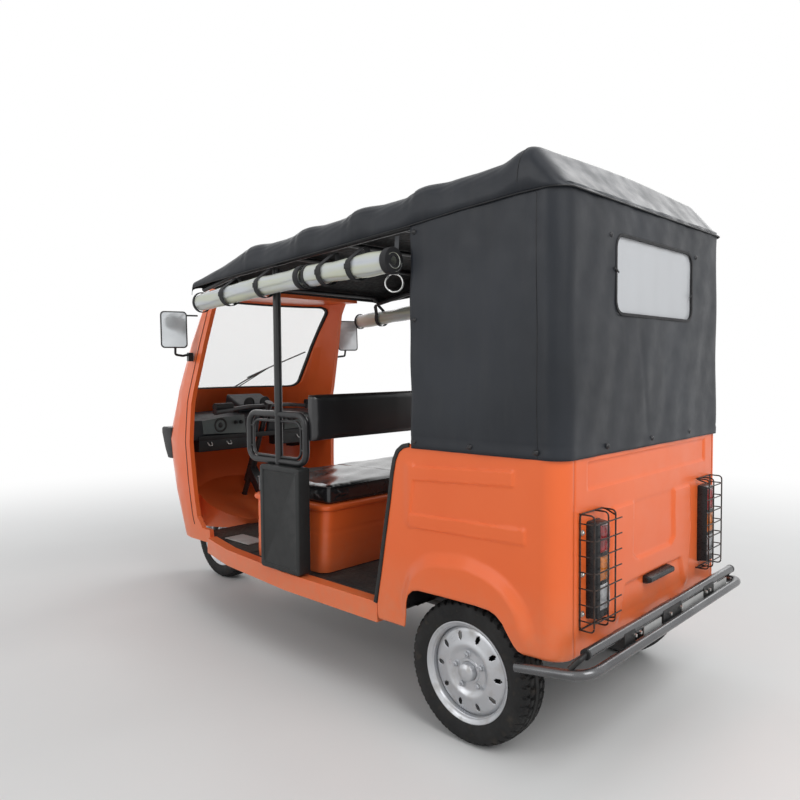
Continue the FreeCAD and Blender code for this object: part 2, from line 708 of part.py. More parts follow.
def band(number, start, end, falls, rear_falls):
    """A pressed band with a bevelled rear end."""
    front = d.curtainfront + start
    rear = cornerstart - end
    return padded("band_%d" % number, "YZ_Plane", (
        (front, d.bodytop - falls - BAND_TALL), (rear - 12, d.bodytop - rear_falls - BAND_TALL),
        (rear, d.bodytop - rear_falls - BAND_TALL + 12), (rear, d.bodytop - rear_falls - 13),
        (rear - 14, d.bodytop - rear_falls), (front, d.bodytop - falls)),
        d.bodyhalf - 1, d.bandproud + 1)


def band_strip():
    """The upright strip that joins the bands in front."""
    (high_start, _, high_falls, _), (low_start, _, low_falls, _) = BANDS
    high, low = d.curtainfront + high_start, d.curtainfront + low_start
    return padded("band_strip", "YZ_Plane", (
        (low - STRIP_WIDE, d.bodytop - low_falls - BAND_TALL), (low + 1, d.bodytop - low_falls - BAND_TALL),
        (high + 1, d.bodytop - high_falls - BAND_TALL), (high + 1, d.bodytop - high_falls),
        (high - STRIP_WIDE, d.bodytop - high_falls)), d.bodyhalf - 1, d.bandproud + 1)


arch = [(d.rearaxle + back, d.archtop - under) for back, under in ARCH]
flare_edge = [(d.rearaxle + back, d.archtop - under) for back, under in FLARE]
door_edge = [(d.curtainfront - ahead, d.bodytop - under) for ahead, under in DOOR_EDGE]
side_panel = padded("side_panel", "YZ_Plane", [(d.curtainfront - 185, d.bodylow)] + door_edge + [
    (cornerstart, d.bodytop), (cornerstart, d.bodylow)] + arch + [(d.curtainfront - 177, d.bodylow - 45)],
    d.bodyhalf - d.bodywall, d.bodywall)
flare = padded("flare", "YZ_Plane", flare_edge + arch, d.bodyhalf - 1, d.flareproud + 1)
bands = [band(number, *columns) for number, columns in enumerate(BANDS)]
side = fused("side_fuse", [side_panel, flare, band_strip()] + bands)
node("rear_side_left", side)
node("rear_side_right", mirrored("rear_side_other", side))


def corner_wall(half, rear, bend, wall, front, low, top):
    """A wall bent round two upright corners, open to the front."""
    def outline_at(inset):
        h, r, b = half - inset, rear - inset, bend - inset
        turn = b * (1 - math.sqrt(0.5))
        cx, cy = h - b, r - b
        start, end = Vector(-h, front, low), Vector(h, front, low)
        edges = []
        if cy - front > 1e-3:
            edges.append(Part.LineSegment(start, Vector(-h, cy, low)).toShape())
        edges.append(Part.Arc(Vector(-h, cy, low), Vector(-h + turn, r - turn, low), Vector(-cx, r, low)).toShape())
        edges.append(Part.LineSegment(Vector(-cx, r, low), Vector(cx, r, low)).toShape())
        edges.append(Part.Arc(Vector(cx, r, low), Vector(h - turn, r - turn, low), Vector(h, cy, low)).toShape())
        if cy - front > 1e-3:
            edges.append(Part.LineSegment(Vector(h, cy, low), end).toShape())
        edges.append(Part.LineSegment(edges[-1].Vertexes[-1].Point, edges[0].Vertexes[0].Point).toShape())
        return Part.Face(Part.Wire(edges)).extrude(Vector(0, 0, top - low))
    return outline_at(0.0).cut(outline_at(wall))


rear_low, rear_top = float(d.bodylow), float(d.bodytop)
rear_wall = corner_wall(float(d.bodyhalf), float(bodyrear), float(d.cornerradius), float(d.bodywall),
                        float(bodyrear - d.cornerradius + d.seatgap), rear_low, rear_top)
# Places on the rear face: two raised shoulders with a field and the plate's bay sunk between them.
field_top, field_low = d.bodytop - 192, d.bodylow + 44
field_end = d.bodytop - 404
plate_high = d.bodylow + 162
upper_top, upper_low = d.bodytop - 32, d.bodytop - 117
FIELD_DEEP = 3.0


def on_rear(outline_half, start, depth):
    """A prism on the rear face, alike on both sides. Its outline is half width and height, from the top down."""
    right = [Vector(x, bodyrear + start, z) for x, z in outline_half]
    left = [Vector(-p.x, p.y, p.z) for p in reversed(right)]
    return polyline_solid(right + left, Vector(0, depth, 0))


raised = on_rear(((325, field_top), (345, field_top - 184), (300, field_low)), -1, d.bandproud + 1)
recess = on_rear(((172, field_top - 1), (178, field_end + 28), (118, field_end)), -FIELD_DEEP, 20)
plate_bay = on_rear(((236, plate_high), (285, field_low + 1)), -FIELD_DEEP, 20)
upper = on_rear(((480, upper_top), (480, upper_low)), -FIELD_DEEP, 20)
rear_made = rear_wall.fuse(raised).cut([recess, plate_bay, upper])
node("rear_panel", shaped("rear_panel_shape", rear_made))

# Inner wheel houses over the rear tyres.
house_rear = d.rearaxle + 290
house_top = d.floortop + 160
house = cut("wheel_house_left", block("house_out", (house_in - d.skin, d.bodyhalf - d.bodywall - d.seatgap),
                                      (house_front, house_rear), (d.floortop + d.seatgap, house_top)),
            block("house_in", (house_in, d.bodyhalf), (house_front + d.skin, house_rear - d.skin),
                  (d.floortop - 100, house_top - d.skin)))
pair("wheel_houses", house)

# Canopy: the roof's sections from front to rear, half of each.
rear_bow = d.curtainfront + 20
roof_run = rear_bow - canopyfront
# Columns: place, depth of the flat's edge and of the valance's edge under the ridge, how much narrower.
ROOF_LEVELS = (
    (canopyfront, 244, 282, 12), (canopyfront + roof_run * 0.271, 128, 248, 6), (canopyfront + roof_run * 0.517, 104, 222, 0),
    (canopyfront + roof_run * 0.743, 78, 196, 0), (rear_bow, 46, 178, 0), (bodyrear - 117, 0, 137, 0),
    (bodyrear + 11, 110, 130, 0))
ROOF_FLAT = 563.0
ROOF_CROWN = 18.0
ROOF_NOSE_SLOPE = (ROOF_LEVELS[0][1] - ROOF_LEVELS[1][1]) / float(ROOF_LEVELS[1][0] - ROOF_LEVELS[0][0])
roof_half = float(d.bodyhalf + 2 * (d.canvas + d.seatgap))


def roof_body(inset, drop):
    """The solid under the roof's cloth, ruled from section to section."""
    wires = []
    for number, (y, flat_under, hem_under, narrower) in enumerate(ROOF_LEVELS):
        flat_z, hem_z = float(ridge - flat_under), float(ridge - hem_under)
        if number == 0:
            y, flat_z, hem_z = y - drop, flat_z - drop * ROOF_NOSE_SLOPE, hem_z - drop * ROOF_NOSE_SLOPE
        if number == len(ROOF_LEVELS) - 1:
            y = y - inset
        half = roof_half - narrower - inset
        knee = max(hem_z + 1, flat_z - 45) - inset
        points = [(half, hem_z - drop), (half - 4 if inset == 0 else half, knee), (ROOF_FLAT - inset / 2, flat_z - inset)]
        right = [Vector(x, y, z) for x, z in points]
        left = [Vector(-x, y, z) for x, z in reversed(points)]
        wires.append(Part.makePolygon(right + [Vector(0, y, flat_z - inset + ROOF_CROWN)] + left + [right[0]]))
    return Part.makeLoft(wires, True, True)


roof = roof_body(0.0, 0.0).cut(roof_body(float(d.canvas), 30.0))
node("canopy_roof", shaped("roof_shape", roof))

cover = d.canvas + d.seatgap
curtain = corner_wall(d.bodyhalf + cover, bodyrear + cover, d.cornerradius + cover, d.canvas,
                      float(d.curtainfront), d.bodytop - 16, float(curtaintop))
window_hole = Part.makeBox(2 * d.windowhalf, 60, windowhigh - d.windowlow,
                           Vector(-d.windowhalf, bodyrear - 20, d.windowlow))
window_hole = window_hole.makeFillet(d.windowbend, [e for e in window_hole.Edges if runs_along("y")(e)])
node("canopy_rear", shaped("curtain_shape", curtain.cut(window_hole)))
pane = Part.makeBox(2 * d.windowhalf + 30, 2, windowhigh - d.windowlow + 30,
                    Vector(-d.windowhalf - 15, bodyrear - 2, d.windowlow - 15))
node("rear_window", shaped("rear_window_shape", pane))

# Roof frame: side rails and bows, and the posts that carry them.
frame_radius = 12.0
rail_x = 590.0
# Side rail: place along the length, height.
RAIL = ((canopyfront + 30, ridge - 286), (canopyfront + 310, ridge - 238), (400.0, ridge - 196), (bodyrear - 66, ridge - 139))
bow_places = [canopyfront + 40] + [level[0] for level in ROOF_LEVELS[1:-1]]


def roof_height(y):
    """Height of the roof's flat at a place along the length."""
    for (y0, z0, *_), (y1, z1, *_) in zip(ROOF_LEVELS, ROOF_LEVELS[1:]):
        if y0 <= y <= y1:
            return float(ridge - z0 - (z1 - z0) * (y - y0) / (y1 - y0))
    return float(ridge - ROOF_LEVELS[-1][1])


def rail_height(y):
    """Height of the side rails, just inside the valance."""
    for (y0, z0), (y1, z1) in zip(RAIL, RAIL[1:]):
        if y <= y1:
            return z0 + (z1 - z0) * (y - y0) / (y1 - y0)
    return RAIL[-1][1]


def roof_frame():
    """Two side rails and the bows between them, each bow bent up to the roof's flat."""
    pieces = []
    for sign in (-1, 1):
        pieces.append(tube([(sign * rail_x, y, z) for y, z in RAIL], frame_radius, 400))
    for y in bow_places:
        z = roof_height(y) - float(d.canvas) - frame_radius - 3
        low = rail_height(y)
        corner = rail_x - 45
        pieces.append(tube([(-rail_x, y, low), (-corner, y, z), (corner, y, z), (rail_x, y, low)],
                           frame_radius - 1, 14))
    return pieces[0].multiFuse(pieces[1:])


node("roof_frame", shaped("roof_frame_shape", roof_frame()))

# Posts inside the curtain, from the body's top edge to the side rails.
post_pieces = []
for y in (d.curtainfront + 23, bodyrear - 111):
    post_pieces.append(rod("post", 11.0, rail_height(y) - frame_radius - 0.8 - 700, d.bodyhalf - d.bodywall - d.seatgap - 11, y, 700.0,
                           (0, 0, 1)))
posts_left = together("posts_left", post_pieces)
pair("rear_posts", posts_left)

# Middle posts with their panels and arm hoops.
panel = padded("post_panel", "YZ_Plane", (
    (panelfront, d.panellow), (panelrear, d.panellow), (panelrear, panelhigh), (panelfront, panelhigh)),
    d.postx - d.postradius, d.bodyhalf + 6 - d.postx + d.postradius)
round_edges(panel, "panel_round", 12.0, runs_along("x"))
pair("post_panels", panel)


def hoop():
    """The post, and the rounded loop on it."""
    x = d.postx
    loop = tube_loop([(x, hooprear, hooplow), (x, hooprear, hoophigh), (x, hoopfront, hoophigh), (x, hoopfront, hooplow)],
                     d.hoopradius, 45)
    foot = panelhigh + d.seatgap
    post = Part.makeCylinder(d.postradius, rail_height(d.posty) - frame_radius - 1.3 - foot, Vector(x, d.posty, foot))
    return loop.fuse(post)


arm = shaped("arm_hoop", hoop())
pair("arm_hoops", arm)

# Driver's seat: box, cushion and the wide backrest between the hoops.
box = padded("seat_box", "XZ_Plane", (
    (-d.seathalf, d.floortop + 0.3), (d.seathalf, d.floortop + 0.3), (d.seathalf - 20, seattop),
    (-d.seathalf + 20, seattop)), -seatrear, seatrear - seatfront)
node("driver_seat_box", box)
cushion = padded("driver_cushion", "XY_Plane", (
    (-d.seathalf + 30, seatfront + 5), (d.seathalf - 30, seatfront + 5), (d.seathalf - 30, seatrear - 5),
    (-d.seathalf + 30, seatrear - 5)), seattop + d.seatgap, d.cushionthick - d.seatgap)
round_edges(cushion, "cushion_round", 30.0, runs_along("z"))
node("driver_cushion", cushion)
back_half = d.postx - d.hoopradius - 0.3
backrest = padded("driver_backrest", "XZ_Plane", (
    (-back_half, d.backlow), (back_half, d.backlow), (back_half, backhigh), (-back_half, backhigh)),
    -hooprear - 20, d.backthick)
round_edges(backrest, "backrest_round", 20.0, runs_along("y"))
node("driver_backrest", backrest)

# Passenger bench over the rear axle.
bench_half = house_in - d.skin - 1
bench = padded("passenger_bench", "YZ_Plane", (
    (benchfront, d.floortop + 0.3), (benchrear, d.floortop + 0.3), (benchrear, benchtop), (benchfront, benchtop)),
    -bench_half, bench_half * 2)
node("passenger_bench", bench)
seat_half = d.bodyhalf - 68
seat = padded("passenger_cushion", "XY_Plane", (
    (-seat_half, benchfront - 20), (seat_half, benchfront - 20), (seat_half, benchrear - 70), (-seat_half, benchrear - 70)),
    benchtop + d.seatgap, d.seatthick)
round_edges(seat, "passenger_cushion_round", 30.0, runs_along("z"))
node("passenger_cushion", seat)
back_low = benchtop + d.seatgap
back_lean = 70.0
back_high = back_low + 540
back = padded("passenger_backrest", "YZ_Plane", (
    (benchrear - 65, back_low), (benchrear, back_low), (benchrear + back_lean, back_high),
    (benchrear - 65 + back_lean, back_high + 10)), 20 - seat_half, seat_half * 2 - 40)
node("passenger_backrest", back)

# Dashboard: a shelf across the cab with a sloping face, fitted to the shell, and the instrument hood.
dash = polyline_solid([Vector(-700, frontaxle + y, z) for y, z in (
    (375, 900), (400, 1005), (310, 1030), (-50, 1030), (-50, 1008), (307, 1008), (375, 990), (353, 900))],
    Vector(1400, 0, 0))
dash = dash.common(skin_fit)
column_room = Part.makeCylinder(36, 400, Vector(0, 0, 600))
column_room.Placement = steer_frame
column_way = column_room.common(Part.makeBox(400, 400, 400, Vector(-200, frontaxle + 20, 750)))
node("dashboard", shaped("dash_shape", dash.cut(column_way)))
hood = polyline_solid([Vector(-120, frontaxle + y, z) for y, z in (
    (305, 1030.3), (325, 1075), (190, 1135), (160, 1030.3))], Vector(240, 0, 0))
hood = hood.cut(column_room)
node("instrument_hood", shaped("hood_shape", hood))

# Rolled side curtains under the roof's edge, each a slightly falling roll.
roll_x = d.postx + d.postradius + d.rollradius + d.seatgap
roll_start = Vector(roll_x, canopyfront + 40, ridge - 350)
roll_end = Vector(roll_x, d.curtainfront - 67, ridge - 290)


def curtain_roll():
    away = roll_end - roll_start
    return Part.makeCylinder(d.rollradius, away.Length, roll_start, away)


pair("curtain_rolls", shaped("curtain_roll", curtain_roll()))

# Tail lamps and their wire guards.
lamp = block("tail_lamp", (d.lampinner, lampouter), (bodyrear + d.seatgap, bodyrear + d.lampdepth), (d.lamplow, lamphigh))
pair("tail_lamps", lamp)


def wire(points, width):
    """A thin square bar along straight runs, mitred at the corners."""
    path = Part.makePolygon([Vector(*p) for p in points])
    first, second = path.Vertexes[0].Point, path.Vertexes[1].Point
    away = (second - first).normalize()
    side = away.cross(Vector(0.31, 0.17, 0.93)).normalize() * (width / 2)
    over = away.cross(side).normalize() * (width / 2)
    ring = Part.makePolygon([first + side + over, first - side + over, first - side - over, first + side - over,
                             first + side + over])
    return path.makePipeShell([ring], True, False, 1)


GUARD_HOOPS = 7
GUARD_TAIL = 38.0


def lamp_guard():
    """A cage of bent wires: level hoops whose tails stick out inwards, joined by upright wires."""
    inner, outer = float(d.lampinner - 12), float(lampouter + 43)
    low, high = float(d.lamplow - 22), float(lamphigh + 29)
    near, far = float(bodyrear) + 0.3, float(bodyrear + d.guarddepth) - float(d.wireradius)
    width = 2 * float(d.wireradius)
    wires = []
    for number in range(GUARD_HOOPS):
        z = low + 5 + (high - low - 10) * number / (GUARD_HOOPS - 1)
        wires.append(wire([(outer, near, z), (outer, far - 16, z), (outer - 16, far, z), (inner - GUARD_TAIL, far, z)], width))
    for x in (inner, inner + 47, outer - 16):
        wires.append(wire([(x, near, low), (x, far - 1.5, low), (x, far - 1.5, high), (x, near, high)], width - 2))
    return wires[0].multiFuse(wires[1:])


guard = shaped("lamp_guard", lamp_guard())
pair("lamp_guards", guard)

# Rear bumper: a straight upper tube and a lower one that wraps round to the sides.
def bumper():
    """Upper and lower tube, the brackets between them and the arms to the chassis."""
    radius = d.bumperradius
    out = d.bodyhalf + 17
    low, high = d.bodylow, d.bodylow + 47
    ahead = bodyrear - 151
    upper_tube = Part.makeCylinder(radius, 1200, Vector(-600, bumperrear - 35, high), Vector(1, 0, 0))
    lower_tube = tube([(-out, ahead, low - 38), (-out, bumperrear, low), (out, bumperrear, low), (out, ahead, low - 38)],
                      radius, 60)
    pieces = [lower_tube, upper_tube]
    arm_start = chassis_rear + d.seatgap
    for x in (-d.railhalf, 0.0, d.railhalf):
        pieces.append(Part.makeBox(30, 60, 70, Vector(x - 15, bumperrear - 60, low - 14)))
        pieces.append(Part.makeBox(30, bumperrear - 30 - arm_start, 30, Vector(x - 15, arm_start, low - 38)))
    return pieces[0].multiFuse(pieces[1:])


node("rear_bumper", shaped("bumper_shape", bumper()))
lamp_strip = block("plate_lamp_shape", (-130.0, 130.0), (bodyrear - 3 + d.seatgap, bodyrear + 28), (plate_high - 25, plate_high))
node("plate_lamp", lamp_strip)

# Mirrors on arms from the cab's front pillars, and the front corner lamps.


def mirror():
    """A flat housing on a bent arm, with a foot against the pillar."""
    head = Part.makeBox(150, 22, 190, Vector(478, frontaxle + 375, 1388))
    head = head.makeFillet(14, [edge for edge in head.Edges if runs_along("y")(edge)])
    arm_tube = tube([(x, frontaxle + y, z) for x, y, z in (
        (460, 430, 1365), (520, 400, 1345), (545, 386, 1345), (548, 386, 1400))], 6, 12)
    foot = Part.makeBox(50, 40, 50, Vector(444, frontaxle + 412, 1340))
    return head.multiFuse([arm_tube, foot])


pair("mirrors", shaped("mirror_shape", mirror().cut(skin_out)))
front_lamp = Part.makeBox(80, 120, 170, Vector(400, frontaxle + 80, 780))
front_lamp = front_lamp.makeFillet(22, [edge for edge in front_lamp.Edges if runs_along("y")(edge)])
front_lamp = front_lamp.cut(skin_out)
pair("front_lamps", shaped("front_lamp_shape", front_lamp))

doc.recompute()

# Each object and each sub-part is checked before anything is written.
for made in doc.Objects:
    if "Invalid" in made.State or "Error" in made.State:
        raise RuntimeError("failed: " + made.Name)
os.makedirs("parts", exist_ok=True)
for name, made in nodes.items():
    shape = made.Shape
    if shape.isNull() or not shape.isValid() or shape.Volume <= 0:
        raise RuntimeError("bad shape: " + name)
    print("%-20s solids %2d volume %10.0f" % (name, len(shape.Solids), shape.Volume))
    shape.exportStep("parts/%s.step" % name)
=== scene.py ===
"""The looks of the auto rickshaw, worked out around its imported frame. Lengths are in metres."""
import json
import math

import bmesh
import bpy
import numpy as np
from mathutils import Matrix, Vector
from mathutils.bvhtree import BVHTree


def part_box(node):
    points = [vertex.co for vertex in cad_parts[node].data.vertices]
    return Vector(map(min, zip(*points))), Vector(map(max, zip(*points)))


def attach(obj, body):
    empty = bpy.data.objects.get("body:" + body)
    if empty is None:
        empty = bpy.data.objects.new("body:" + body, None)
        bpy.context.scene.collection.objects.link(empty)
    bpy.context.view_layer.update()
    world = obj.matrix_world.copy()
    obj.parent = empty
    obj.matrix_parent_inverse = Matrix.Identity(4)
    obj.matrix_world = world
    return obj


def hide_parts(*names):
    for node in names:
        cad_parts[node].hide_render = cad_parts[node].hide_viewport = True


bl_info = {
    "name": "Auto Rickshaw",
    "version": (1, 0, 0),
    "blender": (4, 5, 0),
    "location": "View3D > Sidebar > Rickshaw",
    "description": "Builds the looks of a three-wheeled passenger rickshaw around its frame",
    "category": "Object",
}

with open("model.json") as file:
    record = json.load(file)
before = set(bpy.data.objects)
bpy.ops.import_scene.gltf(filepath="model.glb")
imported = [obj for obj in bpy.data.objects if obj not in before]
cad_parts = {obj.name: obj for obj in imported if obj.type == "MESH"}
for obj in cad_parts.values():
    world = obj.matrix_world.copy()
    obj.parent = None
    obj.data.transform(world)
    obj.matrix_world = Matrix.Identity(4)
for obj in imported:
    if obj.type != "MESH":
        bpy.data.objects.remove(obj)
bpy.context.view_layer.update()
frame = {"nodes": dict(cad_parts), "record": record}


# Arrays that describe surfaces. A chunk is its corners, its faces and the number of its material.

def grid(points, wrap_u=False, wrap_v=False, material=0, flip=False):
    """A chunk from points on a grid of two parameters; a wrapped direction joins its ends."""
    nu, nv = points.shape[:2]
    corner = np.arange(nu * nv).reshape(nu, nv)
    u = np.append(corner, corner[:1], 0) if wrap_u else corner
    u = np.append(u, u[:, :1], 1) if wrap_v else u
    faces = np.stack([u[:-1, :-1], u[1:, :-1], u[1:, 1:], u[:-1, 1:]], -1).reshape(-1, 4)
    return points.reshape(-1, 3), faces[:, ::-1] if flip else faces, material


def fan(ring, material=0):
    """A cap over a ring of points: triangles from its middle."""
    count = len(ring)
    points = np.vstack([ring, ring.mean(0)])
    steps = np.arange(count)
    faces = np.stack([steps, (steps + 1) % count, np.full(count, count)], -1)
    return points, faces, material


def moved(chunk, matrix):
    """A chunk carried by a 4 by 4 matrix; a mirroring one turns its faces round."""
    points, faces, material = chunk
    matrix = np.asarray(matrix)
    points = points @ matrix[:3, :3].T + matrix[:3, 3]
    return points, faces[:, ::-1] if np.linalg.det(matrix[:3, :3]) < 0 else faces, material


def mirror_x(chunks):
    """The same chunks on the other side of the vehicle."""
    return [moved(chunk, np.diag([-1.0, 1.0, 1.0, 1.0])) for chunk in chunks]


def unit(vectors):
    """Each vector divided by its length."""
    return vectors / np.maximum(np.linalg.norm(vectors, axis=-1, keepdims=True), 1e-12)


def sweep(path, profile, closed=False, material=0, up=(0.0, 0.0, 1.0)):
    """A closed profile of two columns carried along a path; its second column points nearest to up."""
    path = np.asarray(path, float)
    profile = np.asarray(profile, float)
    ahead = unit(np.roll(path, -1, 0) - np.roll(path, 1, 0)) if closed else unit(np.gradient(path, axis=0))
    side = unit(np.cross(ahead, np.broadcast_to(np.asarray(up, float), ahead.shape)))
    over = np.cross(side, ahead)
    points = path[:, None] + profile[None, :, :1] * side[:, None] + profile[None, :, 1:] * over[:, None]
    made = [grid(points, wrap_u=closed, wrap_v=True, material=material)]
    if not closed:
        made += [fan(points[0], material), fan(points[-1], material)]
    return made


def laid(ring, axis, at, centre=(0.0, 0.0)):
    """A flat ring of two columns laid across an axis, at a place along it."""
    return np.insert(ring + np.asarray(centre), "xyz".index(axis), at, axis=1)


def stepped(width, height, rows, axis, at, centre=(0.0, 0.0), steps=5):
    """Rings of a round-cornered rectangle; each row holds a ring's depth past a place, its growth and its corner."""
    return [laid(rounded(width + grow, height + grow, bend, steps), axis, at + depth, centre)
            for depth, grow, bend in rows]


def lofted(rings):
    """A closed form through rings: its skin and its two end caps."""
    rings = np.array(rings)
    return [grid(rings, wrap_v=True), fan(rings[0]), fan(rings[-1])]


def ring_profile(radius, count=12):
    """A circle as a profile."""
    turn = np.linspace(0, 2 * np.pi, count, endpoint=False)
    return radius * np.stack([np.cos(turn), np.sin(turn)], -1)


def rounded(width, height, radius, steps=4):
    """A rectangle with round corners as a profile."""
    turn = np.linspace(0, np.pi / 2, steps)
    made = []
    for number, (sx, sy) in enumerate(((1, 1), (-1, 1), (-1, -1), (1, -1))):
        angle = turn + number * np.pi / 2
        made.append(np.stack([sx * (width / 2 - radius) + radius * np.cos(angle),
                              sy * (height / 2 - radius) + radius * np.sin(angle)], -1))
    return np.vstack(made)


def round_corner(start, corner, end, steps):
    """A curve from start to end that touches both sides of a corner."""
    t = np.linspace(0, 1, steps)[:, None]
    return (1 - t) ** 2 * start + 2 * t * (1 - t) * corner + t ** 2 * end


def bent(points, radius, steps=5):
    """A path of straight runs with a round bend at each inner corner."""
    points = np.asarray(points, float)
    made = [points[0]]
    for before, corner, after in zip(points, points[1:], points[2:]):
        u, v = unit(before - corner), unit(after - corner)
        half = math.acos(np.clip(u @ v, -1, 1)) / 2
        back = radius / math.tan(half)
        made += list(round_corner(corner + u * back, corner, corner + v * back, steps + 2))
    made.append(points[-1])
    return np.array(made)


def tube(path, radius, count=12, material=0, closed=False, up=(0.03, 0.05, 1.0)):
    """A circle carried along a path."""
    return sweep(path, ring_profile(radius, count), closed=closed, material=material, up=up)


def turned(profile, centre, steps=64, material=0, axis="x", closed=False):
    """A profile of two columns, along the axis and out from it, turned about an axis through a point."""
    profile = np.asarray(profile, float)
    angle = np.linspace(0, 2 * np.pi, steps, endpoint=False)
    along = np.broadcast_to(profile[None, :, 0], (steps, len(profile)))
    a = profile[None, :, 1] * np.cos(angle)[:, None]
    b = profile[None, :, 1] * np.sin(angle)[:, None]
    order = {"x": (along, a, b), "y": (b, along, a)}[axis]
    return grid(np.stack(order, -1) + np.asarray(centre, float), wrap_u=True, wrap_v=closed, material=material)


def added(name, data):
    """A new object in the scene."""
    made = bpy.data.objects.new(name, data)
    bpy.context.scene.collection.objects.link(made)
    return made


def piece(name, chunks, finishes, body="body", stands_for=(), sharp=32.0, shell=False):
    """An object from chunks, riding on a body and smooth up to an angle.

    All but open shells get their faces turned outwards."""
    mesh = bpy.data.meshes.new(name)
    points = np.vstack([chunk[0] for chunk in chunks])
    starts = np.cumsum([0] + [len(chunk[0]) for chunk in chunks[:-1]])
    corners = np.concatenate([(chunk[1] + start).ravel() for chunk, start in zip(chunks, starts)])
    sizes = np.concatenate([np.full(len(chunk[1]), chunk[1].shape[1]) for chunk in chunks])
    slots = np.concatenate([np.full(len(chunk[1]), chunk[2]) for chunk in chunks])
    mesh.vertices.add(len(points))
    mesh.vertices.foreach_set("co", points.astype(np.float32).ravel())
    mesh.loops.add(len(corners))
    mesh.loops.foreach_set("vertex_index", corners.astype(np.int32))
    mesh.polygons.add(len(sizes))
    mesh.polygons.foreach_set("loop_start", np.cumsum(np.append(0, sizes[:-1])).astype(np.int32))
    mesh.polygons.foreach_set("loop_total", sizes.astype(np.int32))
    mesh.polygons.foreach_set("material_index", slots.astype(np.int32))
    mesh.polygons.foreach_set("use_smooth", np.ones(len(sizes), bool))
    mesh.update(calc_edges=True)
    mesh.validate()
    joined = bmesh.new()
    joined.from_mesh(mesh)
    bmesh.ops.remove_doubles(joined, verts=joined.verts, dist=2e-6)
    if not shell:
        bmesh.ops.recalc_face_normals(joined, faces=joined.faces)
    joined.to_mesh(mesh)
    joined.free()
    mesh.set_sharp_from_angle(angle=math.radians(sharp))
    made = added(name, mesh)
    for finish in finishes:
        mesh.materials.append(finish)
    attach(made, body)
    if stands_for:
        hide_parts(*stands_for)
    return made


# Materials. Each is a small graph on Object coordinates: two tones, a rough map and a bump.

class Graph:
    """A material's nodes, added and linked in one line each."""

    def __init__(self, name):
        self.material = bpy.data.materials.new(name)
        self.material.use_nodes = True
        self.tree = self.material.node_tree
        self.shader = self.tree.nodes["Principled BSDF"]
        self.place = self.add("TexCoord", out=3)

    def add(self, kind, out=0, **inputs):
        """A node with its settings and inputs by name, or by number after an i; gives one of its outputs."""
        node = self.tree.nodes.new("ShaderNode" + kind)
        for key, value in inputs.items():
            if hasattr(node, key) and key not in node.inputs:
                setattr(node, key, value)
                continue
            socket = node.inputs[key.replace("_", " ")] if not key[1:].isdigit() else node.inputs[int(key[1:])]
            self.set(socket, value)
        return node.outputs[out]

    def noise(self, scale, detail, vector=None):
        """Noise on Object coordinates, or on a stretched copy of them."""
        return self.add("TexNoise", Vector=self.place if vector is None else vector, Scale=scale, Detail=detail)

    def spread(self, value, low, high, start=0.0, end=1.0):
        """A value's range carried onto another."""
        return self.add("MapRange", Value=value, i1=low, i2=high, i3=start, i4=end)

    def level(self, noise, least, most):
        """A noise's middle range carried onto a range."""
        return self.spread(noise, 0.3, 0.7, least, most)

    def mix(self, share, first, second):
        """One colour turning into another with the share."""
        return self.add("Mix", out=2, data_type="RGBA", i0=share, i6=first, i7=second)

    def tones(self, noise, first, second, high=0.65):
        """Two colours in the patches of a noise."""
        return self.mix(self.spread(noise, 0.35, high), first, second)

    def bump(self, height, strength, distance, **under):
        """A bent normal from a height, over another one where it is given."""
        return self.add("Bump", Strength=strength, Distance=distance, Height=height, **under)

    def set(self, socket, value):
        """Link an output to a socket, or give the socket a plain value; a colour gets full alpha."""
        if isinstance(value, bpy.types.NodeSocket):
            self.tree.links.new(value, socket)
        elif socket.type == "RGBA":
            socket.default_value = (*value[:3], 1.0)
        else:
            socket.default_value = value

    def shade(self, **values):
        """Set the shader's inputs, and give the material."""
        for key, value in values.items():
            self.set(self.shader.inputs[key.replace("_", " ")], value)
        return self.material


def scaled(colour, share):
    """A colour made darker or lighter."""
    return tuple(c * share for c in colour)


def finish(name, colour, second=None, spot=6.0, rough=(0.4, 0.5), grain=220.0, bump=0.05, depth=0.001, **shader):
    """Two tones mixed by a wide noise, a rough map from a middle noise and a fine grain as bump."""
    g = Graph(name)
    tone = g.tones(g.noise(spot, 4.0), colour, second or colour)
    level = g.level(g.noise(spot * 7, 3.0), *rough)
    rise = g.bump(g.noise(grain, 2.0), bump, depth)
    shader.setdefault("Specular_IOR_Level", 0.32)
    return g.shade(Base_Color=tone, Roughness=level, Normal=rise, **shader)


class RickshawLook(bpy.types.PropertyGroup):
    """The colours and small sizes that a user would change."""
    paint: bpy.props.FloatVectorProperty(
        name="Paint", description="Body paint", subtype="COLOR", size=3, min=0, max=1, default=(0.82, 0.135, 0.026))
    paint_worn: bpy.props.FloatVectorProperty(
        name="Paint, faded", description="Body paint where it has faded", subtype="COLOR", size=3, min=0, max=1,
        default=(0.85, 0.155, 0.036))
    canvas: bpy.props.FloatVectorProperty(
        name="Canvas", description="Coated cloth of the canopy", subtype="COLOR", size=3, min=0, max=1,
        default=(0.0095, 0.0115, 0.0155))
    enamel: bpy.props.FloatVectorProperty(
        name="Enamel", description="Black enamel on tubes and guards", subtype="COLOR", size=3, min=0, max=1,
        default=(0.014, 0.014, 0.016))
    wheel: bpy.props.FloatVectorProperty(
        name="Wheel", description="Silver paint on the wheels", subtype="COLOR", size=3, min=0, max=1,
        default=(0.52, 0.53, 0.55))
    piping: bpy.props.FloatProperty(
        name="Piping", description="Radius of the canopy's piping", subtype="DISTANCE", unit="LENGTH", default=0.0027)
    strap: bpy.props.FloatProperty(
        name="Strap", description="Width of the curtain straps", subtype="DISTANCE", unit="LENGTH", default=0.026)


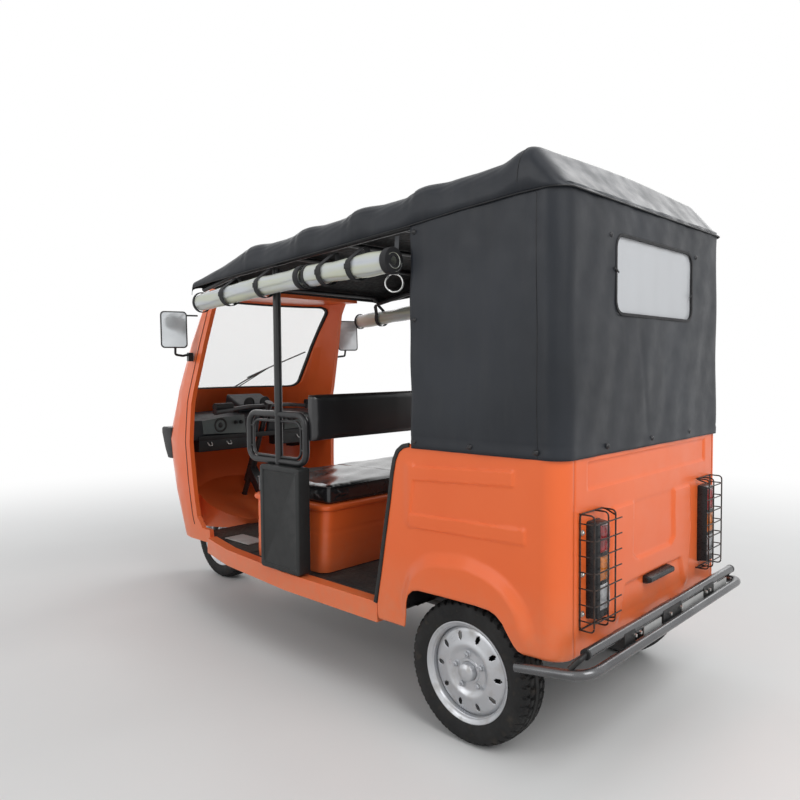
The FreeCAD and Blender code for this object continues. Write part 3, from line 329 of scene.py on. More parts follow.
class RickshawView(bpy.types.PropertyGroup):
    """Where the photograph was taken from."""
    eye: bpy.props.FloatVectorProperty(
        name="Eye", description="Camera position", subtype="TRANSLATION", size=3, unit="LENGTH",
        default=(2.473, 2.541, 1.282))
    heading: bpy.props.FloatProperty(
        name="Heading", description="Direction of view in plan, from +X", subtype="ANGLE", unit="ROTATION",
        default=math.radians(223.359))
    pitch: bpy.props.FloatProperty(
        name="Pitch", description="Upward tilt of the view", subtype="ANGLE", unit="ROTATION",
        default=math.radians(-2.594))
    roll: bpy.props.FloatProperty(
        name="Roll", description="Turn about the line of sight", subtype="ANGLE", unit="ROTATION",
        default=math.radians(-0.455))
    focal: bpy.props.FloatProperty(
        name="Focal length", description="On a sensor 36 mm wide", min=1, default=32.26)
    key: bpy.props.FloatProperty(
        name="Key light", description="Strength of the large lamp", min=0, default=230.0)
    sky: bpy.props.FloatProperty(
        name="Sky", description="Strength of the world", min=0, default=0.42)


# Finishes of the nodes that stay as the frame has them, by the record's material slot.

def slot_finishes(look):
    """A finish for each material slot."""
    paint = dict(Metallic=0.0, Coat_Weight=0.45, Coat_Roughness=0.12, IOR=1.5)
    return {
        "orange_paint": finish(
            "orange_paint", look.paint, look.paint_worn, 2.2, (0.3, 0.42), 380, 0.04, 0.0006, **paint),
        "black_paint": finish(
            "black_enamel", look.enamel, (0.03, 0.03, 0.032), 9, (0.26, 0.42), 300, 0.06, 0.0008, Coat_Weight=0.3,
            Coat_Roughness=0.2),
        "canvas": finish("canvas_plain", look.canvas, (0.03, 0.034, 0.042), 3, (0.42, 0.55), 900, 0.2, 0.0004),
        "tyre_rubber": finish(
            "tyre_rubber", (0.012, 0.012, 0.013), (0.035, 0.032, 0.028), 12, (0.6, 0.85), 500, 0.2, 0.0006),
        "wheel_silver": finish(
            "wheel_silver", look.wheel, (0.42, 0.42, 0.43), 14, (0.28, 0.42), 600, 0.05, 0.0004, Metallic=0.75),
        "seat_vinyl": finish(
            "seat_vinyl", (0.012, 0.012, 0.013), (0.02, 0.02, 0.022), 5, (0.26, 0.4), 700, 0.25, 0.0008,
            Coat_Weight=0.15, Coat_Roughness=0.3),
        "dash_plastic": finish(
            "dash_plastic", (0.045, 0.05, 0.055), (0.03, 0.033, 0.037), 8, (0.45, 0.6), 900, 0.3, 0.0006),
        "black_plastic": finish(
            "black_plastic", (0.012, 0.012, 0.013), (0.02, 0.02, 0.02), 8, (0.35, 0.5), 800, 0.2, 0.0005),
        "lamp_lens": finish("lamp_lens_plain", (0.3, 0.01, 0.01), (0.25, 0.01, 0.01), 8, (0.1, 0.2), 300, 0.05),
        "glass": clear("screen_glass", (0.8, 0.86, 0.84), 0.03, 0.12),
        "clear_film": clear("clear_film", (0.86, 0.88, 0.89), 0.12, 0.3),
    }


def clear(name, colour, rough, body):
    """A thin clear sheet: mostly see-through, with a little of its own colour."""
    g = Graph(name)
    cloud = g.noise(5.0, 4.0)
    level = g.level(cloud, rough * 0.6, rough * 1.6)
    wave = g.bump(cloud, 0.12, 0.002)
    return g.shade(Base_Color=colour, Roughness=level, Normal=wave, Alpha=body, IOR=1.45, Specular_IOR_Level=0.6)


class RICKSHAW_OT_frame(bpy.types.Operator):
    """Give every node of the frame the finish of its material slot"""
    bl_idname = "rickshaw.frame"
    bl_label = "Frame finishes"

    def execute(self, context):
        made = slot_finishes(context.scene.rickshaw_look)
        for row in frame["record"]["subparts"]:
            node = frame["nodes"][row["node"]]
            node.data.materials.clear()
            node.data.materials.append(made[row["material_slot"]])
        return {"FINISHED"}


class RICKSHAW_OT_stage(bpy.types.Operator):
    """Set the pale floor, the soft lights and the photograph's camera"""
    bl_idname = "rickshaw.stage"
    bl_label = "Floor, lights and camera"

    def execute(self, context):
        view = context.scene.rickshaw_view
        scene = context.scene
        scene.view_settings.view_transform = "Standard"
        across = 60.0 * np.linspace(-1, 1, 41) ** 3
        x, y = np.meshgrid(across, across, indexing="ij")
        floor = piece("floor", [grid(np.stack([x, y, np.zeros_like(x)], -1))], [self.floor_finish()], shell=True)
        self.sky(scene, view.sky)
        for name, place, target, share in (("key_lamp", (1.5, 5.5, 5.2), (0, 0.4, 1.0), 1.0),
                                           ("side_lamp", (6.5, -1.0, 3.6), (0, -0.2, 0.8), 0.42),
                                           ("far_lamp", (-6.0, 0.4, 5.0), (0, 0.6, 1.4), 0.55),
                                           ("nose_lamp", (-2.5, -6.0, 3.5), (0, 0, 1.0), 0.25)):
            self.lamp(name, place, target, 4.0, view.key * share)
        camera = bpy.data.cameras.new("camera")
        camera.lens = view.focal
        camera.sensor_width = 36.0
        camera.sensor_fit = "HORIZONTAL"
        ahead = np.array([math.cos(view.pitch) * math.cos(view.heading), math.cos(view.pitch) * math.sin(view.heading),
                          math.sin(view.pitch)])
        level = unit(np.cross(ahead, (0, 0, 1.0)))
        above = np.cross(level, ahead)
        right = level * math.cos(view.roll) + above * math.sin(view.roll)
        up = -level * math.sin(view.roll) + above * math.cos(view.roll)
        scene.camera = self.stand("camera", camera, right, up, -ahead, view.eye)
        return {"FINISHED"}

    @staticmethod
    def stand(name, data, right, up, back, place):
        """A camera or a lamp at a place, with its three axes."""
        turn = np.eye(4)
        turn[:3] = np.stack([right, up, back, place], -1)
        made = added(name, data)
        made.matrix_world = Matrix(turn.tolist())
        return made

    def floor_finish(self):
        """Pale near the middle, and turning into the white background with distance."""
        g = Graph("pale_floor")
        cloud = g.noise(1.2, 5.0)
        tone = g.mix(cloud, (0.78, 0.775, 0.765), (0.84, 0.835, 0.82))
        away = g.add("VectorMath", out=1, operation="LENGTH", i0=g.place)
        far = g.add("MapRange", interpolation_type="SMOOTHSTEP", Value=away, i1=2.2, i2=6.5)
        g.shade(Base_Color=tone, Roughness=0.9, Specular_IOR_Level=0.2)
        white = g.add("Emission", Color=(1, 1, 1), Strength=1.0)
        mix = g.add("MixShader", i0=far, i1=g.shader.outputs[0], i2=white)
        g.tree.links.new(mix, g.tree.nodes["Material Output"].inputs[0])
        return g.material

    def sky(self, scene, strength):
        """White behind the object, and a soft light on it that falls off towards the ground."""
        world = bpy.data.worlds.new("studio")
        world.use_nodes = True
        scene.world = world
        nodes, links = world.node_tree.nodes, world.node_tree.links
        out = nodes["World Output"]
        light = nodes["Background"]
        light.inputs["Color"].default_value = (0.93, 0.965, 1.0, 1)
        light.inputs["Strength"].default_value = strength
        white = nodes.new("ShaderNodeBackground")
        white.inputs["Color"].default_value = (1, 1, 1, 1)
        white.inputs["Strength"].default_value = 1.0
        path = nodes.new("ShaderNodeLightPath")
        seen = path.outputs["Is Camera Ray"]
        for kind in ("Is Glossy Ray", "Is Transmission Ray"):
            either = nodes.new("ShaderNodeMath")
            either.operation = "MAXIMUM"
            links.new(seen, either.inputs[0])
            links.new(path.outputs[kind], either.inputs[1])
            seen = either.outputs[0]
        mix = nodes.new("ShaderNodeMixShader")
        for number, source in enumerate((seen, light.outputs[0], white.outputs[0])):
            links.new(source, mix.inputs[number])
        links.new(mix.outputs[0], out.inputs["Surface"])

    def lamp(self, name, place, target, size, power):
        """A square lamp at a place, turned towards a target."""
        data = bpy.data.lights.new(name, "AREA")
        data.shape = "SQUARE"
        data.size = size
        data.energy = power
        away = unit(np.subtract(place, target))
        side = unit(np.cross((0, 0, 1.0), away))
        self.stand(name, data, side, np.cross(away, side), away, place)


# Fields of height on the body's sheet metal.

def step(x, width):
    """0 below zero, 1 above the width, and smooth between."""
    t = np.clip(x / width, 0, 1)
    return t * t * (3 - 2 * t)


def between(x, low, high, width):
    """1 between two values, falling to 0 outside them over a width."""
    return step(x - low + width / 2, width) * step(high - x + width / 2, width)


def line(x, *points):
    """Straight runs through points: the second value at each first value."""
    xs, ys = zip(*points)
    return np.interp(x, xs, ys)


class SheetMetal:
    """The rear body's outer surface. Two parameters: the way round the body, and the height."""
    half, rear, top, low, corner, door = 0.628, 1.451, 1.016, 0.39, 0.07, 0.672
    thick, hub_y, hub_z = 0.0045, 1.075, 0.385

    @classmethod
    def plan(cls, along):
        """Place and outward normal at a distance along the plan, from the door's foot round to the middle."""
        straight = cls.rear - cls.corner - cls.door
        quarter = cls.corner * np.pi / 2
        turn = np.clip((along - straight) / cls.corner, 0, np.pi / 2)
        past = np.maximum(along - straight - quarter, 0)
        x = cls.half - cls.corner + cls.corner * np.cos(turn) - past
        y = cls.door + np.minimum(along, straight) + cls.corner * np.sin(turn)
        return x, y, np.cos(turn), np.sin(turn)

    @classmethod
    def wheel_arch(cls, y):
        """The lower edge along the side."""
        return line(y, (0.672, 0.388), (0.68, 0.352), (0.812, 0.352), (0.822, 0.392), (0.834, 0.448), (0.846, 0.48),
                    (0.866, 0.499), (0.895, 0.506), (0.987, 0.508), (1.14, 0.509), (1.195, 0.506), (1.223, 0.496),
                    (1.25, 0.473), (1.285, 0.41), (1.297, 0.396), (1.315, 0.39))

    @classmethod
    def door_edge(cls, y):
        """The upper edge along the side: the rear edge of the door, then level."""
        return line(y, (0.672, 0.392), (0.695, 0.519), (0.722, 0.667), (0.748, 0.804), (0.763, 0.9), (0.775, 0.952),
                    (0.792, 0.985), (0.818, 1.006), (0.85, 1.0155), (0.87, 1.016))

    @classmethod
    def side_relief(cls, y, z):
        """How far the side stands out: two bands joined in front, and the bevelled flare over the wheel."""
        band = 0.0055
        first = between(z, line(y, (0.862, 0.888), (1.281, 0.909)), line(y, (0.862, 0.936), (1.281, 0.958)), 0.007)
        second = between(z, line(y, (0.839, 0.72), (1.323, 0.732)), line(y, (0.839, 0.768), (1.323, 0.781)), 0.007)
        first = first * step(1.284 - y, 0.008) * step(y - 0.845, 0.02)
        second = second * step(1.327 - y, 0.008) * step(y - 0.82, 0.03)
        strip = (
            between(z, 0.73, 0.945, 0.02) * step(line(z, (0.72, 0.842), (0.9, 0.868)) - y, 0.008)
            * step(y - 0.805, 0.04))
        angle = np.arctan2(z - cls.hub_z, y - cls.hub_y)
        edge_y = np.array([1.375, 1.361, 1.336, 1.262, 1.155, 1.014, 0.9, 0.824, 0.799, 0.788])
        edge_z = np.array([0.385, 0.462, 0.543, 0.616, 0.657, 0.659, 0.634, 0.566, 0.5, 0.385])
        edge = np.arctan2(edge_z - cls.hub_z, edge_y - cls.hub_y)
        reach = np.interp(angle, edge, np.hypot(edge_y - cls.hub_y, edge_z - cls.hub_z))
        inside = reach - np.hypot(y - cls.hub_y, z - cls.hub_z)
        flare = step(inside, 0.055) * step(z - 0.34, 0.14)
        rear_fade = 1 - step(y - 1.29, 0.07) * step(0.47 - z, 0.09)
        return band * np.maximum(np.maximum(first, second), strip) + 0.021 * flare * rear_fade

    @staticmethod
    def eased_edges(z, low, high):
        """How far the sheet turns in at its upper and lower edges."""
        return 0.0035 * (1 - step(high - z, 0.006)) + 0.004 * (1 - step(z - low, 0.007))

    @classmethod
    def rear_relief(cls, x, z):
        """How far the rear stands out: an upper recess, two shoulders, the field between them and the plate's bay."""
        across = np.abs(x)
        edge = 0.01
        upper = between(z, 0.899, 0.984, edge) * step(0.48 - across, edge)
        outer = line(z, (0.405, 0.3), (0.64, 0.345), (0.823, 0.325))
        shoulders = step(0.824 - z, 0.012) * step(outer - across, 0.016) * step(z - 0.425, 0.03)
        inner = line(z, (0.6, 0.118), (0.64, 0.178), (0.823, 0.172))
        field = step(inner - across, 0.016) * step(z - 0.612, 0.014)
        bay_half = line(z, (0.405, 0.292), (0.552, 0.236))
        bay = step(bay_half - across, 0.016) * step(0.556 - z, 0.014)
        return -0.006 * upper + 0.008 * shoulders - 0.01 * field * shoulders - 0.012 * bay * shoulders


class RICKSHAW_OT_body(bpy.types.Operator):
    """Press the rear body's sides and rear panel, with their bands, flares, recesses and seams"""
    bl_idname = "rickshaw.body"
    bl_label = "Rear body"

    def execute(self, context):
        look = context.scene.rickshaw_look
        paint = paint_finish("body_paint", look)
        sheet = SheetMetal
        straight = sheet.rear - sheet.corner - sheet.door
        whole = straight + sheet.corner * np.pi / 2
        seam = 0.0015
        along = np.concatenate([np.linspace(0, 0.2, 46), np.linspace(0.2, straight, 86)[1:],
                                np.linspace(straight, whole - seam, 13)[1:]])[:, None]
        share = np.linspace(0, 1, 113)[None]
        x, y, nx, ny = sheet.plan(along)
        flat = np.minimum(y, sheet.rear - sheet.corner)
        low, high = sheet.wheel_arch(flat), sheet.door_edge(flat)
        z = low + (high - low) * share
        out = sheet.side_relief(y + 0 * z, z) * (nx > 0.2)
        out = out - sheet.eased_edges(z, low, high)
        side = [grid(np.stack([x + nx * out, y + ny * out, z], -1))]
        for name, chunks in (("rear_side_left", side), ("rear_side_right", mirror_x(side))):
            made = piece("pressed_" + name, chunks, [paint], stands_for=[name], shell=True)
            wall(made, sheet.thick)
        reach = sheet.half - sheet.corner - seam
        x = np.linspace(-reach, reach, 181)[:, None]
        z = np.linspace(sheet.low, sheet.top, 109)[None]
        out = sheet.rear_relief(x + 0 * z, z) - sheet.eased_edges(z, sheet.low, sheet.top)
        out = out - 0.003 * (1 - step(reach - np.abs(x), 0.004))
        rear = [grid(np.stack([x + 0 * z, sheet.rear + out, z + 0 * x], -1), flip=True)]
        made = piece("pressed_rear_panel", rear, [paint], stands_for=["rear_panel"], shell=True)
        wall(made, sheet.thick)
        lock = turned([(0.0045, 0.0), (0.0045, 0.007), (0.003, 0.009), (0.002, 0.0105), (0.0, 0.012)],
                      (0, sheet.rear - 0.002, 0.582), 24, axis="y")
        piece("rear_lock", [lock], [metal_finish("lock_steel", (0.2, 0.2, 0.2))])
        return {"FINISHED"}


def wall(made, thickness, shaded_lining=None):
    """Give a sheet its thickness, inwards from its outer face, with another finish inside where one is given."""
    solid = made.modifiers.new("wall", "SOLIDIFY")
    solid.thickness = thickness
    solid.offset = -1.0
    if shaded_lining:
        made.data.materials.append(shaded_lining)
        solid.material_offset = 1


def paint_finish(name, look):
    """Gloss paint: two near tones, a rough map, fine orange peel, and dust towards the lower edge."""
    g = Graph(name)
    tone = g.tones(g.noise(1.8, 5.0), look.paint, look.paint_worn)
    height = g.add("SeparateXYZ", out=2, Vector=g.place)
    dust = g.noise(26.0, 6.0)
    low = g.spread(height, 0.3, 0.62, 0.75, 0.0)
    shown = g.add("Math", operation="MULTIPLY", i0=low, i1=dust)
    dusty = g.mix(shown, tone, (0.62, 0.27, 0.15))
    level = g.level(g.noise(11.0, 4.0), 0.28, 0.42)
    rise = g.bump(g.noise(420.0, 1.0), 0.035, 0.0005)
    return g.shade(Base_Color=dusty, Roughness=level, Normal=rise, Specular_IOR_Level=0.35, Coat_Weight=0.15,
                   Coat_Roughness=0.16)


def metal_finish(name, colour, rough=(0.25, 0.4), metallic=0.9):
    """Plain metal in two near tones."""
    return finish(name, colour, scaled(colour, 0.8), 12, rough, 700, 0.04, 0.0003, Metallic=metallic,
                  Specular_IOR_Level=0.5)


# The canopy: one cloth over the bows, and one round the rear that hangs from its rails.

class Canopy:
    """The roof's cloth. Its section has upright sides, round knees and a nearly level top."""
    front, ridge, rear, corner = -0.552, 1.334, 1.462, 0.07
    half, knee = 0.6386, 0.49
    bows = (-0.085, 0.27, 0.585, 0.897, 1.318)

    @classmethod
    def top(cls, y):
        """Level of the knee: the cloth sags behind each bow and climbs steeply onto the next."""
        return line(y, (-0.6, 1.692), (-0.52, 1.722), (-0.3, 1.777), (-0.19, 1.813), (-0.165, 1.817), (-0.115, 1.825),
                    (-0.085, 1.828), (-0.01, 1.828), (0.12, 1.835), (0.183, 1.842), (0.245, 1.853), (0.27, 1.855),
                    (0.335, 1.856), (0.508, 1.869), (0.555, 1.88), (0.585, 1.884), (0.69, 1.886), (0.815, 1.893),
                    (0.874, 1.905), (0.902, 1.909), (0.97, 1.911), (1.121, 1.919), (1.221, 1.928), (1.284, 1.944),
                    (1.318, 1.951), (1.334, 1.951), (1.346, 1.944), (1.45, 1.822), (1.462, 1.806))

    @classmethod
    def hem(cls, y):
        """Level of the lower edge."""
        return line(y, (-0.6, 1.668), (-0.4, 1.684), (-0.086, 1.705), (0.239, 1.725), (0.528, 1.744), (0.844, 1.766),
                    (1.077, 1.787), (1.303, 1.802), (1.462, 1.806))

    @classmethod
    def place(cls, y, turn):
        """A point at a row y and a turn.

        The turn is 0 at the left hem, 1 at the left knee's end, 2 at the right one's and 3 at the right hem."""
        sign = np.where(turn <= 1.5, 1.0, -1.0)
        half_turn = np.where(turn <= 1.5, turn, 3.0 - turn)
        angle = np.clip(half_turn, 0, 1) * np.pi / 2
        past = np.maximum(half_turn - 1, 0) / 0.5
        nearest = np.min([np.abs(y - bow) for bow in cls.bows], axis=0)
        sag = step(nearest - 0.015, 0.09) * step(y + 0.62, 0.12)
        turn_in = np.clip((y - (cls.rear - cls.corner)) / cls.corner, 0, 1)
        half = cls.half - cls.corner * (1 - np.sqrt(np.maximum(1 - turn_in ** 2, 0)))
        power = 0.4 + 0.17 * sag
        top, hem = cls.top(y), cls.hem(y)
        x = cls.knee + (half - cls.knee) * np.cos(angle) ** power
        z = hem + (top - hem) * np.sin(angle) ** power
        x = np.where(half_turn > 1, cls.knee * (1 - past), x)
        z = z + np.where(
            half_turn > 1, (0.012 - 0.01 * sag) * np.sin(np.minimum(past, 1) * np.pi / 2), 0) * step(1.45 - y, 0.1)
        middle = np.sin(angle * 2) ** 0.5 * (half_turn <= 1)
        crease = sum(np.exp(-((y - bow + 0.03 + 0.02 * np.cos(angle)) / 0.011) ** 2) for bow in cls.bows[:-1])
        fold = (
            0.001 * np.sin(31 * y + 9 * z * 7) + 0.0008 * np.sin(57 * y - 40 * half_turn) + 0.0012 * np.sin(11 * y + 3))
        x = x + middle * (fold * step(1.3 - y, 0.1) - 0.0055 * crease - 0.003 * sag)
        return np.stack([sign * x, y + 0 * x, z], -1)


class RICKSHAW_OT_canopy(bpy.types.Operator):
    """Stretch the canopy's roof over its bows, with round knees, creases and a piped hem"""
    bl_idname = "rickshaw.canopy"
    bl_label = "Canopy roof"

    def execute(self, context):
        look = context.scene.rickshaw_look
        roof = Canopy
        rows = np.concatenate([
            np.linspace(roof.front, roof.ridge - 0.05, 142), np.linspace(roof.ridge - 0.05, 1.4, 16)[1:],
            roof.rear - roof.corner * (1 - np.sin(np.linspace(0.12, 1, 12) * np.pi / 2))])
        turns = np.concatenate([np.linspace(0, 1, 22), np.linspace(1, 2, 34)[1:], np.linspace(2, 3, 22)[1:]])
        points = roof.place(rows[:, None], turns[None])
        drop = np.linspace(1, 0, 5)[:-1, None, None] * np.array([0, 0, -0.034])
        lip = points[:1] + drop + np.array([0, -0.01, 0]) * np.sqrt(np.abs(drop[..., 2:]) / 0.034)
        points = np.concatenate([lip, points])
        canvas = canvas_finish("canopy_canvas", look)
        made = piece(
            "canopy_cloth", [grid(points)], [canvas], stands_for=["canopy_roof"], sharp=60, shell=True)
        # the inside gets the lining, whose extra darkness is painted shade under the roof
        wall(made, 0.0022, shaded_lining("roof_lining_painted_shade"))
        edge = np.vstack([points[4:, 0], points[-1, 1:-1], points[4:, -1][::-1]])
        seam = tube(roof.place(np.linspace(1.3, roof.ridge - 0.004, 24), np.linspace(0.02, 1.0, 24)), 0.0014, 6)
        cord = piece("canopy_piping", tube(edge + np.array([0, 0, 0.001]), look.piping, 8) + seam + mirror_x(seam),
                     [cord_finish("piping")])
        across = roof.place(np.array([[0.6]]), turns[None])[0]
        return {"FINISHED"}


def cut(u, v, place, hole, cell):
    """A grid with a hole.

    The function hole gives the distance outside its edge, and corners near the edge move onto it."""
    away = hole(u, v)
    small = cell * 0.01
    gu, gv = (hole(u + small, v) - away) / small, (hole(u, v + small) - away) / small
    near = (away < 0.25 * cell) & (away > -1.1 * cell)
    u, v = np.where(near, u - away * gu, u), np.where(near, v - away * gv, v)
    corner = np.arange(u.size).reshape(u.shape)
    faces = np.stack([corner[:-1, :-1], corner[1:, :-1], corner[1:, 1:], corner[:-1, 1:]], -1).reshape(-1, 4)
    inside = (away < 0.25 * cell).ravel()
    return place(u, v).reshape(-1, 3), faces[~inside[faces].all(1)][:, ::-1], 0


def rounded_box(x, z, half_x, half_z, radius):
    """Distance outside a rectangle with round corners."""
    dx, dz = np.abs(x) - half_x + radius, np.abs(z) - half_z + radius
    return np.hypot(np.maximum(dx, 0), np.maximum(dz, 0)) + np.minimum(np.maximum(dx, dz), 0) - radius


class Curtain:
    """The cloth round the rear. Two parameters: the way round from the middle of the rear, and the height."""
    half, rear, corner, front = 0.6333, 1.456, 0.07, 0.857
    low, high = 1.0, 1.8
    window = (0.31, 0.1275, 1.5775, 0.045)
    seam = 1.366
    buttons = (0.87, 1.113, 1.364)

    @classmethod
    def whole(cls):
        """Half of the way round, from the middle of the rear to a front edge."""
        return cls.half - cls.corner + cls.corner * np.pi / 2 + cls.rear - cls.corner - cls.front

    @classmethod
    def plan(cls, along):
        """Place and outward normal at a distance along the plan, positive towards the left side."""
        side = np.sign(along)
        way = np.abs(along)
        turn = np.clip((way - (cls.half - cls.corner)) / cls.corner, 0, np.pi / 2)
        level = np.minimum(way, cls.half - cls.corner)
        past = np.maximum(way - (cls.half - cls.corner) - cls.corner * np.pi / 2, 0)
        x = side * (level + cls.corner * np.sin(turn))
        y = cls.rear - cls.corner * (1 - np.cos(turn)) - past
        return x, y, side * np.sin(turn), np.cos(turn)

    @classmethod
    def place(cls, along, z):
        """A point of the cloth: the plan moved out by soft waves, the hem, the seams and the pull of the buttons."""
        x, y, nx, ny = cls.plan(along)
        on_side = step(cls.rear - cls.corner - y, 0.03)
        wave = (
            0.0016 * np.sin(17 * along + 5 * z) + 0.0012 * np.sin(9 * z * 1.7 + 4 * along)
            + 0.0009 * np.sin(43 * along + 13 * z))
        seam = -0.001 * np.exp(-((y - cls.seam) / 0.014) ** 2)
        hem = 0.0012 * step(cls.low + 0.034 - z, 0.003) - 0.0012 * np.exp(-((z - cls.low - 0.034) / 0.003) ** 2)
        pull = 0
        for at in cls.buttons:
            from_button = np.hypot(y - at, (z - 1.03) * 0.45)
            pull = pull - 0.0024 * np.exp(-(from_button / 0.035) ** 2)
        tension = 0.0022 * np.sin((z - cls.low) * 27) * np.exp(-((y - cls.front) / 0.07) ** 2) * on_side
        gather = 0.0004 * np.sin(along * 70 + 2 * np.sin(z * 30)) * step(z - 1.72, 0.07) * (1 - on_side * 0.6)
        crease = -0.002 * np.exp(-((along - 0.11 - 0.2 * (z - 1.3)) / 0.018) ** 2) * between(z, 1.06, 1.4, 0.1)
        out = wave + seam * on_side + hem + pull * on_side + tension + gather + crease * (1 - on_side)
        return np.stack([x + nx * out, y + ny * out, z + 0 * x], -1)


class RICKSHAW_OT_curtain(bpy.types.Operator):
    """Hang the canopy's rear cloth, with its window, seams, hem and turn buttons"""
    bl_idname = "rickshaw.curtain"
    bl_label = "Rear canopy"

    def execute(self, context):
        look = context.scene.rickshaw_look
        cloth = Curtain
        whole = cloth.whole()
        half_x, half_z, middle, radius = cloth.window
        cell = 0.0112
        along = np.linspace(-whole, whole, int(2 * whole / cell) | 1)
        z = np.linspace(cloth.low, cloth.high + 0.022, int((cloth.high - cloth.low) / cell))
        u, v = np.meshgrid(along, z, indexing="ij")
        body = cut(u, v, cloth.place, lambda a, b: rounded_box(a, b - middle, half_x, half_z, radius), cell)
        canvas = canvas_finish("curtain_canvas", look)
        made = piece("rear_cloth", [body], [canvas], stands_for=["canopy_rear"], sharp=60, shell=True)
        # the inside gets the lining, whose extra darkness is painted shade inside the curtain
        wall(made, 0.0022, shaded_lining("curtain_lining_painted_shade"))
        border = self.window()
        seams = self.seams()
        self.buttons()
        return {"FINISHED"}

    def seams(self):
        """A fine cord in the seam of each side, in front of the rear corners."""
        rows = np.linspace(Curtain.low + 0.002, Curtain.high - 0.004, 72)
        way = np.full_like(rows, Curtain.whole() + Curtain.front - Curtain.seam)
        made = tube(Curtain.place(way, rows), 0.0014, 6) + tube(Curtain.place(-way, rows), 0.0014, 6)
        return piece("curtain_seams", made, [cord_finish("seam_cord")])

    def window(self):
        """A clear film behind the hole, and a sewn band round it."""
        half_x, half_z, middle, radius = Curtain.window
        x, z = np.meshgrid(
            np.linspace(-half_x - 0.014, half_x + 0.014, 60), np.linspace(-half_z - 0.014, half_z + 0.014, 30),
            indexing="ij")
        wave = 0.0014 * np.sin(21 * x + 9 * z) * np.cos(13 * z) + 0.0008 * np.sin(50 * x)
        film = grid(np.stack([x, np.full_like(x, Curtain.rear - 0.0045) + wave, z + middle], -1), flip=True)
        pane = piece("window_film", [film], [clear("window_film", (0.88, 0.9, 0.93), 0.1, 0.58)],
                     stands_for=["rear_window"], shell=True)
        ring = rounded(2 * half_x, 2 * half_z, radius, 8)
        path = laid(ring, "y", Curtain.rear + 0.0022, (0, middle))
        edge = [(-0.0052, -0.0022), (0.0052, -0.0022), (0.0052, 0.0012), (0.0036, 0.0022), (-0.0036, 0.0022),
                (-0.0052, 0.0012)]
        band = sweep(path, edge, closed=True, up=(0, 1.0, 0))
        tabs = []
        for tx, tz, lean in ((half_x + 0.004, middle + 0.01, 0.4), (-half_x + 0.012, middle - 0.028, -0.5)):
            strip = np.array([
                (tx - 0.018, 0, tz - lean * 0.012), (tx, 0.004, tz), (tx + 0.016, 0.001, tz + lean * 0.02)])
            strip[:, 1] += Curtain.rear + 0.004
            tabs += sweep(strip, rounded(0.007, 0.0022, 0.001, 2), up=(0, 1.0, 0))
        return piece("window_band", band + tabs, [webbing("window_band")])

    def buttons(self):
        """Turn buttons with a plate, a stud and a small wing."""
        made = []
        stud = [(0.0055, 0.0), (0.0055, 0.003), (0.004, 0.0062), (0.001, 0.0085), (-0.002, 0.0095)]
        x = Curtain.half
        for y, z in [(y, 1.022) for y in Curtain.buttons] + [(0.876, 1.445), (0.876, 1.745)]:
            wing = [(x + 0.0055, y - 0.009, z - 0.002), (x + 0.0075, y, z), (x + 0.0055, y + 0.009, z + 0.002)]
            button = [turned(stud, (x + 0.0015, y, z), 16)]
            button += sweep(wing, rounded(0.006, 0.003, 0.001, 2), up=(1.0, 0, 0))
            made += button + mirror_x(button)
        for x, z in ((0.345, 1.697), (-0.348, 1.697), (0.03, 1.026), (-0.3, 1.026), (0.36, 1.026)):
            made.append(turned(stud[::-1], (x, Curtain.rear + 0.0015, z), 16, axis="y"))
        piece(
            "curtain_buttons", made, [metal_finish("button_black", (0.03, 0.03, 0.032), (0.3, 0.45), 0.4)])


def canvas_finish(name, look):
    """Coated cloth: a fine weave as bump, faded and dusty in wide patches, with long faint streaks downwards."""
    g = Graph(name)
    faded = tuple(c * 1.6 + 0.004 for c in look.canvas)
    tone = g.tones(g.noise(2.2, 5.0), look.canvas, faded, high=0.68)
    tall = g.add("Mapping", Vector=g.place, Scale=(9.0, 9.0, 1.1))
    shown = g.spread(g.noise(2.0, 6.0, tall), 0.52, 0.75, 0.0, 0.3)
    dusty = g.mix(shown, tone, (0.034, 0.035, 0.037))
    level = g.level(g.noise(13.0, 5.0), 0.36, 0.5)
    soft = g.bump(g.noise(22.0, 4.0), 0.25, 0.0015)
    rise = g.bump(g.noise(1100.0, 1.0), 0.25, 0.0003, Normal=soft)
    return g.shade(Base_Color=dusty, Roughness=level, Normal=rise, Specular_IOR_Level=0.3)


def shaded_lining(name):
    """The cloth's dull inner face: its own dark colour, made darker still as painted shade under the roof and the
    curtain.
    """
    return finish(name, (0.0035, 0.0036, 0.004), (0.0065, 0.0065, 0.007), 8, (0.6, 0.85), 700, 0.15, 0.0003)


def cord_finish(name):
    """Black cord in the seams and round the hem."""
    return finish(name, (0.004, 0.0045, 0.0055), (0.009, 0.0095, 0.011), 30, (0.35, 0.5), 600, 0.1, 0.0004)


def webbing(name, colour=(0.012, 0.012, 0.013)):
    """Black woven tape."""
    g = Graph(name)
    wide = g.noise(40.0, 3.0)
    tone = g.mix(wide, colour, scaled(colour, 2.2))
    level = g.level(wide, 0.5, 0.7)
    rise = g.bump(g.noise(900.0, 2.0), 0.4, 0.0004)
    return g.shade(Base_Color=tone, Roughness=level, Normal=rise, Specular_IOR_Level=0.25)


# Wheels. Everything on them is turned about the axle.

